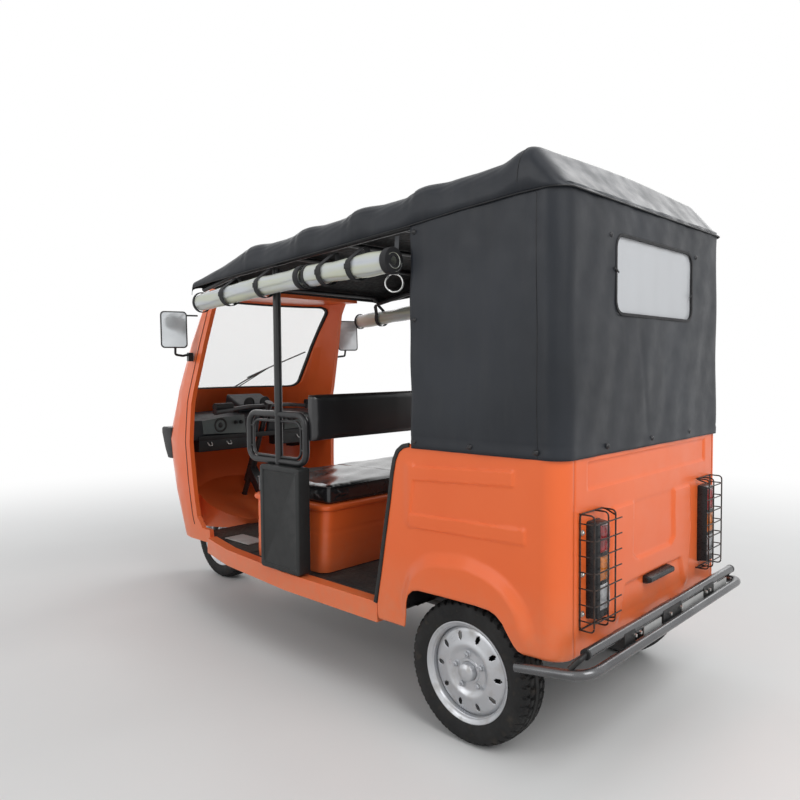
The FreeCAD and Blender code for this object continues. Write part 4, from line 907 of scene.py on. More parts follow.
class Wheel:
    """A wheel's sizes: the tyre's section, the rim's barrel and the dished disc with its slots."""
    radius, half, slots, slot_at = 0.2475, 0.0675, 10, 0.121
    pitches, groove = 44, 0.0075
    section = ((0.0522, 0.1605), (0.0545, 0.168), (0.059, 0.176), (0.064, 0.188), (0.0668, 0.201), (0.0672, 0.212),
               (0.0655, 0.224), (0.061, 0.2345), (0.054, 0.2408), (0.044, 0.2445), (0.03, 0.2465), (0.015, 0.2474))

    @classmethod
    def tread(cls, angle, across):
        """1 in the tread's grooves: two zigzag rings, and slanted cuts between the blocks."""
        pitch = angle * cls.pitches / (2 * np.pi)
        zigzag = 0.0022 * np.abs(2 * ((pitch + 0.25) % 1) - 1)
        rings = sum(np.exp(-((np.abs(across) - at - zigzag) / 0.0022) ** 4) for at in (0.0105, 0.033))
        lean = 0.35 * np.sign(across) * np.abs(across) / 0.05
        phase = (pitch + lean + 0.5 * (np.abs(across) > 0.033)) % 1
        cuts = (np.abs(phase - 0.5) < 0.16) * (np.abs(across) > 0.012)
        sipe = 0.35 * (np.abs(phase - 0.02) < 0.05) * (np.abs(across) > 0.036)
        return np.clip(rings + cuts + sipe, 0, 1) * step(0.0672 - np.abs(across), 0.004)

    @classmethod
    def tyre(cls, centre):
        """The tyre's skin from bead to bead, its side walls ringed and its tread cut by grooves."""
        half = np.array(cls.section)
        run = np.vstack([half, [(0, 0.2476)], (half * (-1, 1))[::-1]])
        way = np.append(0, np.cumsum(np.linalg.norm(np.diff(run, axis=0), axis=1)))
        fine = np.concatenate([np.linspace(0, 0.07, 15), np.linspace(0.07, way[-1] - 0.07, 48)[1:-1],
                               np.linspace(way[-1] - 0.07, way[-1], 15)])
        across, radius = np.interp(fine, way, run[:, 0]), np.interp(fine, way, run[:, 1])
        angle = np.linspace(0, 2 * np.pi, cls.pitches * 8, endpoint=False)[:, None]
        ring = 0.0009 * np.exp(-((radius - 0.206) / 0.0012) ** 2) + 0.0012 * np.exp(-((radius - 0.178) / 0.0014) ** 2)
        out = radius - cls.groove * cls.tread(angle, across[None]) * step(radius - 0.228, 0.01)
        side = across + np.sign(across) * ring
        points = np.stack([side + 0 * angle, out * np.cos(angle), out * np.sin(angle)], -1) + centre
        bead, rise = across[[0, -1]], radius[[0, -1]]
        inner = np.stack([bead + 0 * angle, rise * np.cos(angle), rise * np.sin(angle)], -1) + centre
        return [grid(points, wrap_u=True), grid(inner, wrap_u=True)]

    @classmethod
    def disc_height(cls, radius):
        """The disc's face: falling outwards past its slots, with a raised ring and a flat seat for the hub."""
        return line(
            radius, (0.028, 0.038), (0.064, 0.038), (0.07, 0.039), (0.079, 0.044), (0.085, 0.0474), (0.09, 0.0478),
            (0.097, 0.0462), (0.106, 0.0436), (0.136, 0.0372), (0.144, 0.034), (0.1515, 0.027))

    @classmethod
    def disc_place(cls, arc, radius):
        """A point of the disc's face at a way round the ring of slots and a radius."""
        turn = arc / cls.slot_at
        return np.stack([cls.disc_height(radius), radius * np.cos(turn), radius * np.sin(turn)], -1)

    @classmethod
    def slot(cls, arc, radius):
        """Distance outside the nearest oval slot."""
        apart = 2 * np.pi * cls.slot_at / cls.slots
        return rounded_box((arc + apart / 2) % apart - apart / 2, radius - cls.slot_at, 0.0078, 0.015, 0.0076)

    @classmethod
    def rim(cls, centre, face):
        """Barrel with rolled lips, the dished disc with its slots, the hub cap and five nuts."""
        lip = [(0.053, 0.1702), (0.0545, 0.1722), (0.057, 0.173), (0.0592, 0.1722), (0.06, 0.17), (0.0592, 0.1678),
               (0.056, 0.1655), (0.0535, 0.1612)]
        well = [(0.052, 0.1585), (0.048, 0.1562), (0.0455, 0.1552), (0.044, 0.1532), (0.03, 0.1518), (-0.03, 0.15),
                (-0.048, 0.1562)]
        barrel = lip + well + [(-x, radius) for x, radius in lip[::-1]] + [(-0.052, 0.1604), (0.052, 0.1604)]
        made = [turned(barrel, (0, 0, 0), 96, closed=True)]
        cap = [(0.0382, 0.033), (0.05, 0.0322), (0.058, 0.0312), (0.062, 0.0285), (0.0645, 0.022), (0.065, 0.0205),
               (0.0662, 0.019), (0.0668, 0.01), (0.0669, 0.0004)]
        made.append(turned(cap, (0, 0, 0), 48))
        seat = [(0.0382, 0.044), (0.0405, 0.0425), (0.041, 0.034)]
        made.append(turned(seat, (0, 0, 0), 48))
        bolt_circle = 0.0565
        bolt = [(0.0575, 0.0003), (0.0575, 0.0048), (0.056, 0.0056), (0.05, 0.0058)]
        nut = [(0.0502, 0.0052), (0.0502, 0.0078), (0.0485, 0.0098), (0.041, 0.01)]
        washer = [(0.0412, 0.01), (0.0408, 0.0128), (0.038, 0.0135)]
        for number in range(5):
            turn = 2 * np.pi * (number + 0.35) / 5
            at = (0, bolt_circle * np.cos(turn), bolt_circle * np.sin(turn))
            made += [turned(bolt, at, 12), turned(nut, at, 6), turned(washer, at, 16)]
        arc = np.linspace(0, 2 * np.pi * cls.slot_at, 221)
        radius = np.concatenate([np.linspace(0.03, 0.1, 18), np.linspace(0.1, 0.142, 16)[1:], [0.1455, 0.149, 0.1515]])
        u, v = np.meshgrid(arc, radius, indexing="ij")
        disc = cut(u, v, cls.disc_place, cls.slot, 0.003)
        placed = np.eye(4)
        placed[0, 0] = face
        placed[:3, 3] = centre
        return [moved(chunk, placed) for chunk in made], [moved(disc, placed)]


class RICKSHAW_OT_wheels(bpy.types.Operator):
    """Make the three wheels: treaded tyres on silver rims with slots, nuts and hub caps"""
    bl_idname = "rickshaw.wheels"
    bl_label = "Wheels"

    def execute(self, context):
        look = context.scene.rickshaw_look
        rubber, silver = rubber_finish(), silver_finish(look)
        for name, x, y, face in (
                ("front_%s", 0.0, -1.27, 1), ("rear_%s_left", 0.534, 1.06, 1), ("rear_%s_right", -0.534, 1.06, -1)):
            tyre_node, rim_node, body = (name % part for part in ("tyre", "rim", "wheel"))
            centre = np.array([x, y, Wheel.radius])
            piece(
                "treaded_" + tyre_node, Wheel.tyre(centre), [rubber], body=body, stands_for=[tyre_node],
                sharp=40)
            shells, disc = Wheel.rim(centre, face)
            piece(
                "barrel_" + rim_node, shells, [silver], body=body, stands_for=[rim_node], sharp=40)
            dished = piece("disc_" + rim_node, disc, [silver], body=body, sharp=40, shell=True)
            wall(dished, 0.0032)
        return {"FINISHED"}


def rubber_finish():
    """Tyre rubber, dusty where it meets the road."""
    g = Graph("treaded_rubber")
    tone = g.tones(g.noise(9.0, 5.0), (0.01, 0.01, 0.0105), (0.021, 0.0205, 0.0198), high=0.7)
    mud = g.noise(30.0, 6.0)
    shown = g.spread(mud, 0.56, 0.75, 0.0, 0.45)
    dusty = g.mix(shown, tone, (0.07, 0.058, 0.046))
    level = g.level(mud, 0.5, 0.8)
    rise = g.bump(g.noise(420.0, 2.0), 0.2, 0.0006)
    return g.shade(Base_Color=dusty, Roughness=level, Normal=rise, Specular_IOR_Level=0.25)


def silver_finish(look):
    """Silver wheel paint with road dirt in patches."""
    g = Graph("wheel_paint")
    dirt = g.noise(18.0, 6.0)
    shown = g.spread(dirt, 0.52, 0.74, 0.0, 0.55)
    tone = g.mix(shown, look.wheel, (0.3, 0.27, 0.23))
    level = g.level(dirt, 0.26, 0.5)
    metal = g.spread(shown, 0.0, 0.5, 0.75, 0.2)
    rise = g.bump(g.noise(900.0, 1.0), 0.08, 0.0003)
    return g.shade(Base_Color=tone, Roughness=level, Metallic=metal, Normal=rise)


# Rolled side curtains of clear film, with the straps that hold them up.

class RICKSHAW_OT_rolls(bpy.types.Operator):
    """Roll up the clear side curtains and strap them under the roof's edge"""
    bl_idname = "rickshaw.rolls"
    bl_label = "Rolled curtains"
    axis, out, turns, inner = 0.655, 0.0445, 3.3, 0.027
    front_end = {"left": -0.455, "right": -0.76}
    rear_roll = (0.346, 0.8)
    straps = (-0.212, 0.047, 0.447, 0.613)

    @staticmethod
    def height(y):
        """Level of the rolls' axis."""
        return line(
            y, (-0.78, 1.571), (-0.52, 1.587), (-0.251, 1.609), (0.004, 1.627), (0.288, 1.641), (0.577, 1.649),
            (0.8, 1.655))

    def execute(self, context):
        look = context.scene.rickshaw_look
        film = film_finish()
        tape = webbing("strap_tape")
        for side, sign in (("left", 1), ("right", -1)):
            flip = np.diag([float(sign), 1.0, 1.0, 1.0])
            rings = []
            for y in self.straps + ((-0.56,) if sign < 0 else ()):
                rings += self.strap(y, look.strap)
            for y in (0.312, 0.795):
                rings += self.cuff(y)
            for y in (self.front_end[side] + 0.012, 0.352):
                rings += self.cuff(y, 0.01)
            rings.append(turned([(0.0062, 0.043), (0.0062, 0.015), (0.004, 0.015), (0.004, 0.043)],
                                (self.axis, 0.795, self.height(0.795)), 32, axis="y", closed=True))
            piece(
                "curtain_straps_" + side, [moved(ring, flip) for ring in rings], [tape], sharp=50)
            front_roll = (self.front_end[side], 0.304)
            for name, (start, end), lean in (("front", front_roll, 0.4), ("rear", self.rear_roll, -0.7)):
                roll = moved(self.spiral(start, end, lean), flip)
                made = piece(
                    "curtain_roll_%s_%s" % (name, side), [roll], [film],
                    stands_for=["curtain_rolls"] if (side, name) == ("left", "front") else (), sharp=60, shell=True)
                wall(made, 0.0007)
        return {"FINISHED"}

    def spiral(self, start, end, lean):
        """A roll: its radius falls evenly with the turn, and it is a little slack and uneven along its length."""
        y = np.linspace(start, end, 46)[:, None]
        turn = np.linspace(0, 1, int(27 * self.turns))[None]
        radius = self.out - (self.out - self.inner) * turn
        slack = 1 + 0.045 * np.sin(19 * y + 1.3) * (1 - 0.5 * turn) + 0.02 * np.sin(47 * y + 6 * turn)
        squash = 0.035 * np.sin(2 * np.pi * self.turns * turn * 2 + 14 * y)
        angle = 2 * np.pi * self.turns * turn + lean * (y - start) * 1.2 - 0.6
        r = radius * (slack + squash) * 0.97
        x = self.axis + r * np.cos(angle)
        z = self.height(y) + r * np.sin(angle) - 0.001
        return grid(np.stack([x, y + 0.006 * np.sin(angle * 0.5) * turn, z], -1))

    def strap(self, y, width):
        """Tape round the roll and up over the roof's rail."""
        low, loose = self.height(y), 0.049
        turn = np.linspace(-0.5 * np.pi - 2.0, -0.5 * np.pi + 2.05, 22)
        ring = np.stack([self.axis + loose * np.cos(turn), np.full_like(turn, y), low + loose * np.sin(turn)], -1)
        rail = np.array([(0.628, y, low + 0.074), (0.61, y, low + 0.08), (0.6, y, low + 0.066)])
        path = np.vstack([ring, rail])
        flat = [(-0.0012, -width / 2), (0.0012, -width / 2), (0.0012, width / 2), (-0.0012, width / 2)]
        made = sweep(path, flat, closed=True, up=(0, 1.0, 0))
        buckle = np.array([(0.7045, y - width * 0.6, low), (0.7045, y + width * 0.6, low)])
        return made + sweep(buckle, rounded(0.004, 0.02, 0.0015, 3), up=(0, 0, 1.0))

    def cuff(self, y, width=0.022):
        """The black welt round a roll's end."""
        low = self.height(y)
        profile = [
            (-width, 0.0462), (-width * 0.8, 0.0475), (width * 0.2, 0.0475), (width * 0.3, 0.0462),
            (width * 0.3, 0.0425), (-width, 0.0425)]
        return [turned(profile, (self.axis, y, low), 32, axis="y", closed=True)]


def film_finish():
    """Clear plastic film, clouded and yellowed a little, with long soft reflections."""
    g = Graph("rolled_film")
    long = g.add("Mapping", Vector=g.place, Scale=(30.0, 2.2, 30.0))
    cloud = g.noise(1.0, 4.0, long)
    tone = g.tones(cloud, (0.72, 0.75, 0.79), (0.62, 0.64, 0.49))
    level = g.level(cloud, 0.1, 0.26)
    solid = g.level(cloud, 0.6, 0.85)
    wave = g.bump(cloud, 0.3, 0.003)
    rise = g.bump(g.noise(60.0, 3.0), 0.1, 0.001, Normal=wave)
    return g.shade(Base_Color=tone, Roughness=level, Alpha=solid, Normal=rise, IOR=1.5)


# Tail lamps in their wire cages, the number plate's lamp and the bumper.

class Lamp:
    """A tail lamp's place: half widths, levels and depth, behind the body's rear face."""
    rear, inner, outer, low, high, deep = 1.451, 0.405, 0.487, 0.497, 0.803, 0.038
    lens = (0.411, 0.467)
    lights = ((0.706, 0.792), (0.618, 0.697), (0.526, 0.606))
    cage_inner, cage_outer, cage_low, cage_high, cage_deep, wire = 0.393, 0.53, 0.475, 0.832, 0.051, 0.0027


class RICKSHAW_OT_lamps(bpy.types.Operator):
    """Fit the tail lamps with their lenses, their wire cages with pale bolts, and the plate's lamp"""
    bl_idname = "rickshaw.lamps"
    bl_label = "Rear lamps"

    def execute(self, context):
        black = finish("lamp_housing", (0.01, 0.01, 0.011), (0.018, 0.018, 0.019), 20, (0.22, 0.4), 700, 0.12, 0.0004)
        lenses = [lens_finish("lens_red", (0.34, 0.012, 0.014)), lens_finish("lens_amber", (0.62, 0.17, 0.012)),
                  lens_finish("lens_clear", (0.42, 0.42, 0.43))]
        lamp = self.housing()
        for number, levels in enumerate(Lamp.lights, 1):
            lamp += self.lens(number, *levels)
        piece(
            "lit_tail_lamps", lamp + mirror_x(lamp), [black] + lenses, stands_for=["tail_lamps"],
            sharp=45)
        cage = self.cage()
        wire = finish("cage_wire", (0.009, 0.009, 0.01), (0.05, 0.03, 0.022), 60, (0.35, 0.6), 900, 0.2, 0.0004)
        piece(
            "wire_lamp_guards", cage + mirror_x(cage), [wire], stands_for=["lamp_guards"], sharp=50)
        bolts = []
        for z in (0.772, 0.643, 0.52):
            bolts.append(turned([(0.009, 0.0003), (0.0085, 0.004), (0.006, 0.0062), (0.0035, 0.0066), (0.003, 0.0095),
                                 (0.001, 0.0098)], (0.512, Lamp.rear, z), 14, axis="y"))
        piece(
            "guard_bolts", bolts + mirror_x(bolts), [metal_finish("bolt_zinc", (0.62, 0.6, 0.56))])
        self.plate_lamp(black)
        return {"FINISHED"}

    def housing(self):
        """A base with rounded corners that tapers a little outwards."""
        wide, tall = Lamp.outer - Lamp.inner, Lamp.high - Lamp.low
        centre = ((Lamp.inner + Lamp.outer) / 2, (Lamp.low + Lamp.high) / 2)
        rows = ((0.0004, 0.0, 0.008), (0.006, 0.0, 0.008), (0.0065, -0.003, 0.008), (0.034, -0.007, 0.01),
                (Lamp.deep - 0.001, -0.01, 0.011), (Lamp.deep, -0.014, 0.009))
        rings = np.array(stepped(wide, tall, rows, "y", Lamp.rear, centre))
        return [grid(rings, wrap_v=True), fan(rings[-1])]

    def lens(self, material, low, high):
        """A domed lens with fine upright ribs, standing on the base."""
        left, right = Lamp.lens
        u, v = np.meshgrid(np.linspace(-1, 1, 41), np.linspace(-1, 1, 29), indexing="ij")
        squared = (1 - np.abs(u) ** 8) * (1 - np.abs(v) ** 8)
        dome = 0.0065 * np.sqrt(np.maximum(squared, 0)) + 0.0035 * (1 - u ** 2) * (1 - v ** 2)
        ribs = 0.0005 * np.sin(u * 34) * squared * (np.abs(v) < 0.9)
        x = (left + right) / 2 + u * (right - left) / 2
        z = (low + high) / 2 + v * (high - low) / 2
        return [grid(np.stack([x, Lamp.rear + Lamp.deep - 0.001 + dome + ribs, z], -1), material=material)]

    def cage(self):
        """Wires: a frame on the body, three uprights bent back to it, and seven hoops whose tails stick out inwards."""
        near, far = Lamp.rear + 0.004, Lamp.rear + Lamp.cage_deep
        inner, outer, low, high = Lamp.cage_inner, Lamp.cage_outer, Lamp.cage_low, Lamp.cage_high
        made = []
        for start, end, turn in ((low + 0.02, high, -0.016), (high - 0.02, low, 0.016)):
            corners = [(outer, near, start), (outer, near, end), (inner - 0.012, near, end), (inner, far, end + turn)]
            made += tube(bent(corners, 0.014), Lamp.wire, 8)
        for x in (inner, inner + 0.047, outer - 0.002):
            corners = [(x, near - 0.003, high), (x, far, high), (x, far, low), (x, near - 0.003, low)]
            made += tube(bent(corners, 0.016), Lamp.wire, 8)
        for z in np.linspace(low + 0.03, high - 0.028, 7):
            corners = [(outer, near - 0.003, z), (outer, far + 0.003, z), (inner - 0.036, far + 0.003, z)]
            made += tube(bent(corners, 0.016), Lamp.wire * 0.85, 8)
        return made

    def plate_lamp(self, black):
        """A wedge-shaped housing with a rounded front edge and eased ends."""
        section = np.array([(0.0, 0.515), (0.0, 0.545), (0.01, 0.5455), (0.027, 0.54), (0.0305, 0.536), (0.0305, 0.527),
                            (0.028, 0.523), (0.012, 0.516)])
        left, right = -0.128, 0.08
        x = np.linspace(left, right, 33)
        ends = np.clip(np.minimum(x - left, right - x) / 0.01, 0, 1)
        shrink = np.sqrt(1 - (1 - ends) ** 2) * 0.35 + 0.65
        middle = section.mean(0)
        rings = np.stack([np.stack([np.full(len(section), a), Lamp.rear - 0.002 + (section[:, 0]) * s,
                                    middle[1] + (section[:, 1] - middle[1]) * s], -1) for a, s in zip(x, shrink)])
        piece("plate_lamp_housing", lofted(rings), [black], stands_for=["plate_lamp"], sharp=35)


def lens_finish(name, colour):
    """Coloured clear plastic over a bright pot, ribbed and a little dusty."""
    g = Graph(name)
    wide = g.noise(38.0, 3.0)
    tone = g.tones(wide, colour, scaled(colour, 0.45))
    level = g.level(wide, 0.06, 0.16)
    fine = g.add("TexVoronoi", Vector=g.place, Scale=230.0)
    rise = g.bump(fine, 0.35, 0.0012)
    return g.shade(Base_Color=tone, Roughness=level, Normal=rise, Coat_Weight=0.7, Coat_Roughness=0.05, IOR=1.55)


class RICKSHAW_OT_bumper(bpy.types.Operator):
    """Bend the rear bumper's two tubes, and fit the brackets and pale strips between them"""
    bl_idname = "rickshaw.bumper"
    bl_label = "Rear bumper"

    def execute(self, context):
        grey = finish("bumper_enamel", (0.145, 0.146, 0.15), (0.105, 0.106, 0.11), 5, (0.2, 0.3), 500, 0.02, 0.0003,
                      Metallic=0.8, Specular_IOR_Level=0.5)
        black = finish("bracket_black", (0.01, 0.01, 0.011), (0.022, 0.021, 0.02), 16, (0.35, 0.55), 500, 0.15, 0.0005)
        strip = finish(
            "strip_alloy", (0.55, 0.55, 0.54), (0.42, 0.42, 0.41), 14, (0.3, 0.5), 400, 0.1, 0.0004, Metallic=0.3)
        out, rear, low, high, radius = 0.645, 1.549, 0.39, 0.437, 0.016
        lower = bent(
            [(-out, 1.3, low - 0.038), (-out, rear - 0.005, low), (out, rear - 0.005, low), (out, 1.3, low - 0.038)],
            0.075, 9)
        made = tube(lower, radius, 20)
        upper = tube([(-0.6, rear - 0.035, high), (0.6, rear - 0.035, high)], radius, 20)
        ends = []
        for sign in (-1, 1):
            ends += tube(
                [(sign * 0.596, rear - 0.035, high), (sign * 0.604, rear - 0.035, high)], radius * 1.04, 20, material=1)
            joint = bent([(sign * 0.596, rear - 0.035, high), (sign * 0.628, rear - 0.04, high - 0.01),
                          (sign * 0.64, rear - 0.065, low + 0.006)], 0.012, 3)
            ends += tube(joint, 0.009, 10, material=1)
        brackets = []
        for left, right in ((0.312, 0.385), (-0.06, 0.095), (-0.37, -0.272)):
            middle, wide = (left + right) / 2, right - left
            brackets += sweep([(middle, rear - 0.058, low + 0.024), (middle, rear - 0.018, low + 0.024)],
                              rounded(wide, 0.052, 0.004, 3), material=1)
        for x in (-0.3, 0.0, 0.3):
            brackets += sweep([(x, 1.3955, low - 0.023), (x, rear - 0.03, low - 0.023)], rounded(0.03, 0.03, 0.003, 3),
                              material=1)
            for side in (-0.045, 0.045):
                brackets.append(turned([(rear - 0.01, 0.0005), (rear - 0.01, 0.006), (rear - 0.018, 0.0065)],
                                       (x + side * (0.4 if x else 1), 0, low + 0.03), 6, axis="y", material=2))
        plates = []
        for left, right in ((0.109, 0.243), (-0.268, -0.068), (-0.512, -0.376)):
            middle = (left + right) / 2
            plates += sweep([(middle, rear - 0.022, low + 0.018), (middle, rear - 0.019, low + 0.018)],
                            rounded(right - left, 0.034, 0.002, 3), material=3)
        piece("bent_rear_bumper", made + upper + ends + brackets + plates,
              [grey, black, metal_finish("bumper_bolt", (0.5, 0.49, 0.47)), strip],
              stands_for=["rear_bumper"], sharp=50)
        return {"FINISHED"}


# Middle posts, arm hoops, seats and cushions.

class RICKSHAW_OT_posts(bpy.types.Operator):
    """Stand the middle posts with their pressed panels and the two nested arm hoops"""
    bl_idname = "rickshaw.posts"
    bl_label = "Posts and hoops"

    def execute(self, context):
        enamel = finish("hoop_enamel", (0.013, 0.013, 0.014), (0.026, 0.026, 0.027), 9, (0.28, 0.42), 500, 0.04, 0.0004,
                        Coat_Weight=0.2, Coat_Roughness=0.2)
        x, front, rear, low, high = 0.592, -0.168, 0.228, 0.882, 1.086
        post_y, post_foot, post_radius = 0.045, 0.8685, 0.017
        post_head = RICKSHAW_OT_rolls.height(post_y) + 0.078
        made = tube([(x, post_y, post_foot), (x, post_y, post_head)], post_radius, 20)
        made += self.loop(x, front, rear, low, high, 0.05, 0.0145)
        made += self.loop(x, front + 0.032, rear - 0.032, low + 0.02, high - 0.03, 0.036, 0.0058)
        for y, z in ((front + 0.016, 0.94), (front + 0.016, 1.03), (rear - 0.016, 0.94), (rear - 0.016, 1.03)):
            made += tube([(x, y - 0.014, z), (x, y + 0.014, z)], 0.005, 8)
        piece("bent_arm_hoops", made + mirror_x(made), [enamel], stands_for=["arm_hoops"], sharp=45)
        panel = self.panel()
        grey = finish("panel_black", (0.014, 0.0148, 0.015), (0.02, 0.021, 0.021), 4, (0.38, 0.52), 700, 0.15, 0.0006)
        piece(
            "pressed_post_panels", panel + mirror_x(panel), [grey], stands_for=["post_panels"],
            sharp=40)
        return {"FINISHED"}

    def loop(self, x, front, rear, low, high, bend, radius):
        """A closed tube bent round a rectangle that stands along the side."""
        path = laid(rounded(rear - front, high - low, bend, 7), "x", x, ((front + rear) / 2, (low + high) / 2))
        return tube(path, radius, 16, closed=True, up=(1.0, 0.02, 0.03))

    def panel(self):
        """A deep tray with rounded edges: a flat face inside a raised rim."""
        rows = ((-0.059, -0.004, 0.012), (-0.059, 0, 0.012), (-0.004, 0, 0.014), (-0.001, -0.003, 0.014),
                (0, -0.008, 0.012), (0, -0.04, 0.01), (-0.0015, -0.043, 0.01), (-0.004, -0.045, 0.009),
                (-0.0045, -0.048, 0.009))
        return lofted(stepped(0.267, 0.448, rows, "x", 0.634, (0.0915, 0.644)))


def swollen(made, cap, pressure, voxel=0.006):
    """Blow a closed form up as cloth for a few frames, no point moving more than the cap."""
    scene = bpy.context.scene
    bpy.context.view_layer.objects.active = made
    remesh = made.modifiers.new("voxels", "REMESH")
    remesh.mode = "VOXEL"
    remesh.voxel_size = voxel
    apply_modifiers(made)
    start = corners_of(made.data)
    cloth = made.modifiers.new("cloth", "CLOTH")
    cloth.settings.use_pressure = True
    cloth.settings.uniform_pressure_force = pressure
    cloth.settings.effector_weights.gravity = 0.0
    cloth.settings.quality = 3
    cloth.point_cache.frame_start, cloth.point_cache.frame_end = 1, 20
    for number in range(1, 21):
        scene.frame_set(number)
    apply_modifiers(made)
    scene.frame_set(1)
    way = corners_of(made.data) - start
    far = np.maximum(np.linalg.norm(way, axis=1, keepdims=True), 1e-9)
    move_corners(made.data, start + way * np.minimum(1, cap / far))
    made.data.polygons.foreach_set("use_smooth", np.ones(len(made.data.polygons), bool))


def corners_of(mesh):
    """A mesh's corners as an array."""
    points = np.empty(len(mesh.vertices) * 3, np.float32)
    mesh.vertices.foreach_get("co", points)
    return points.reshape(-1, 3)


def move_corners(mesh, points):
    """Put a mesh's corners where an array says."""
    mesh.vertices.foreach_set("co", points.ravel())
    mesh.update()


def apply_modifiers(made):
    """Replace a mesh by its evaluated one, with its materials kept."""
    graph = bpy.context.evaluated_depsgraph_get()
    mesh = bpy.data.meshes.new_from_object(made.evaluated_get(graph), preserve_all_data_layers=True, depsgraph=graph)
    old = made.data
    for material in old.materials:
        if material.name not in mesh.materials:
            mesh.materials.append(material)
    made.modifiers.clear()
    made.data = mesh
    bpy.data.meshes.remove(old)


def pad_form(low, high, bend=0.02, crown=0.0):
    """A cushion's closed form between two corners of a box: round upright edges and a crowned top."""
    low, high = np.asarray(low, float), np.asarray(high, float)
    size, centre = high - low, (low + high) / 2
    rings = []
    levels = [(0.0, 0.01), (0.02, 0.004), (0.08, 0.0), (0.3, 0.0), (0.5, 0.0), (0.72, 0.0), (0.9, 0.001), (0.97, 0.004),
              (1.0, 0.01)]
    for share, inset in levels:
        ring = rounded(size[0] - 2 * inset, size[1] - 2 * inset, bend, 6)
        rings.append(laid(ring, "z", low[2] + share * size[2], centre[:2]))
    top = rings[-1]
    for share in (0.92, 0.75, 0.5, 0.25):
        lifted = (top - centre) * (share, share, 1) + centre
        lifted[:, 2] = high[2] + crown * (1 - share ** 2)
        rings.append(lifted)
    return lofted(rings)


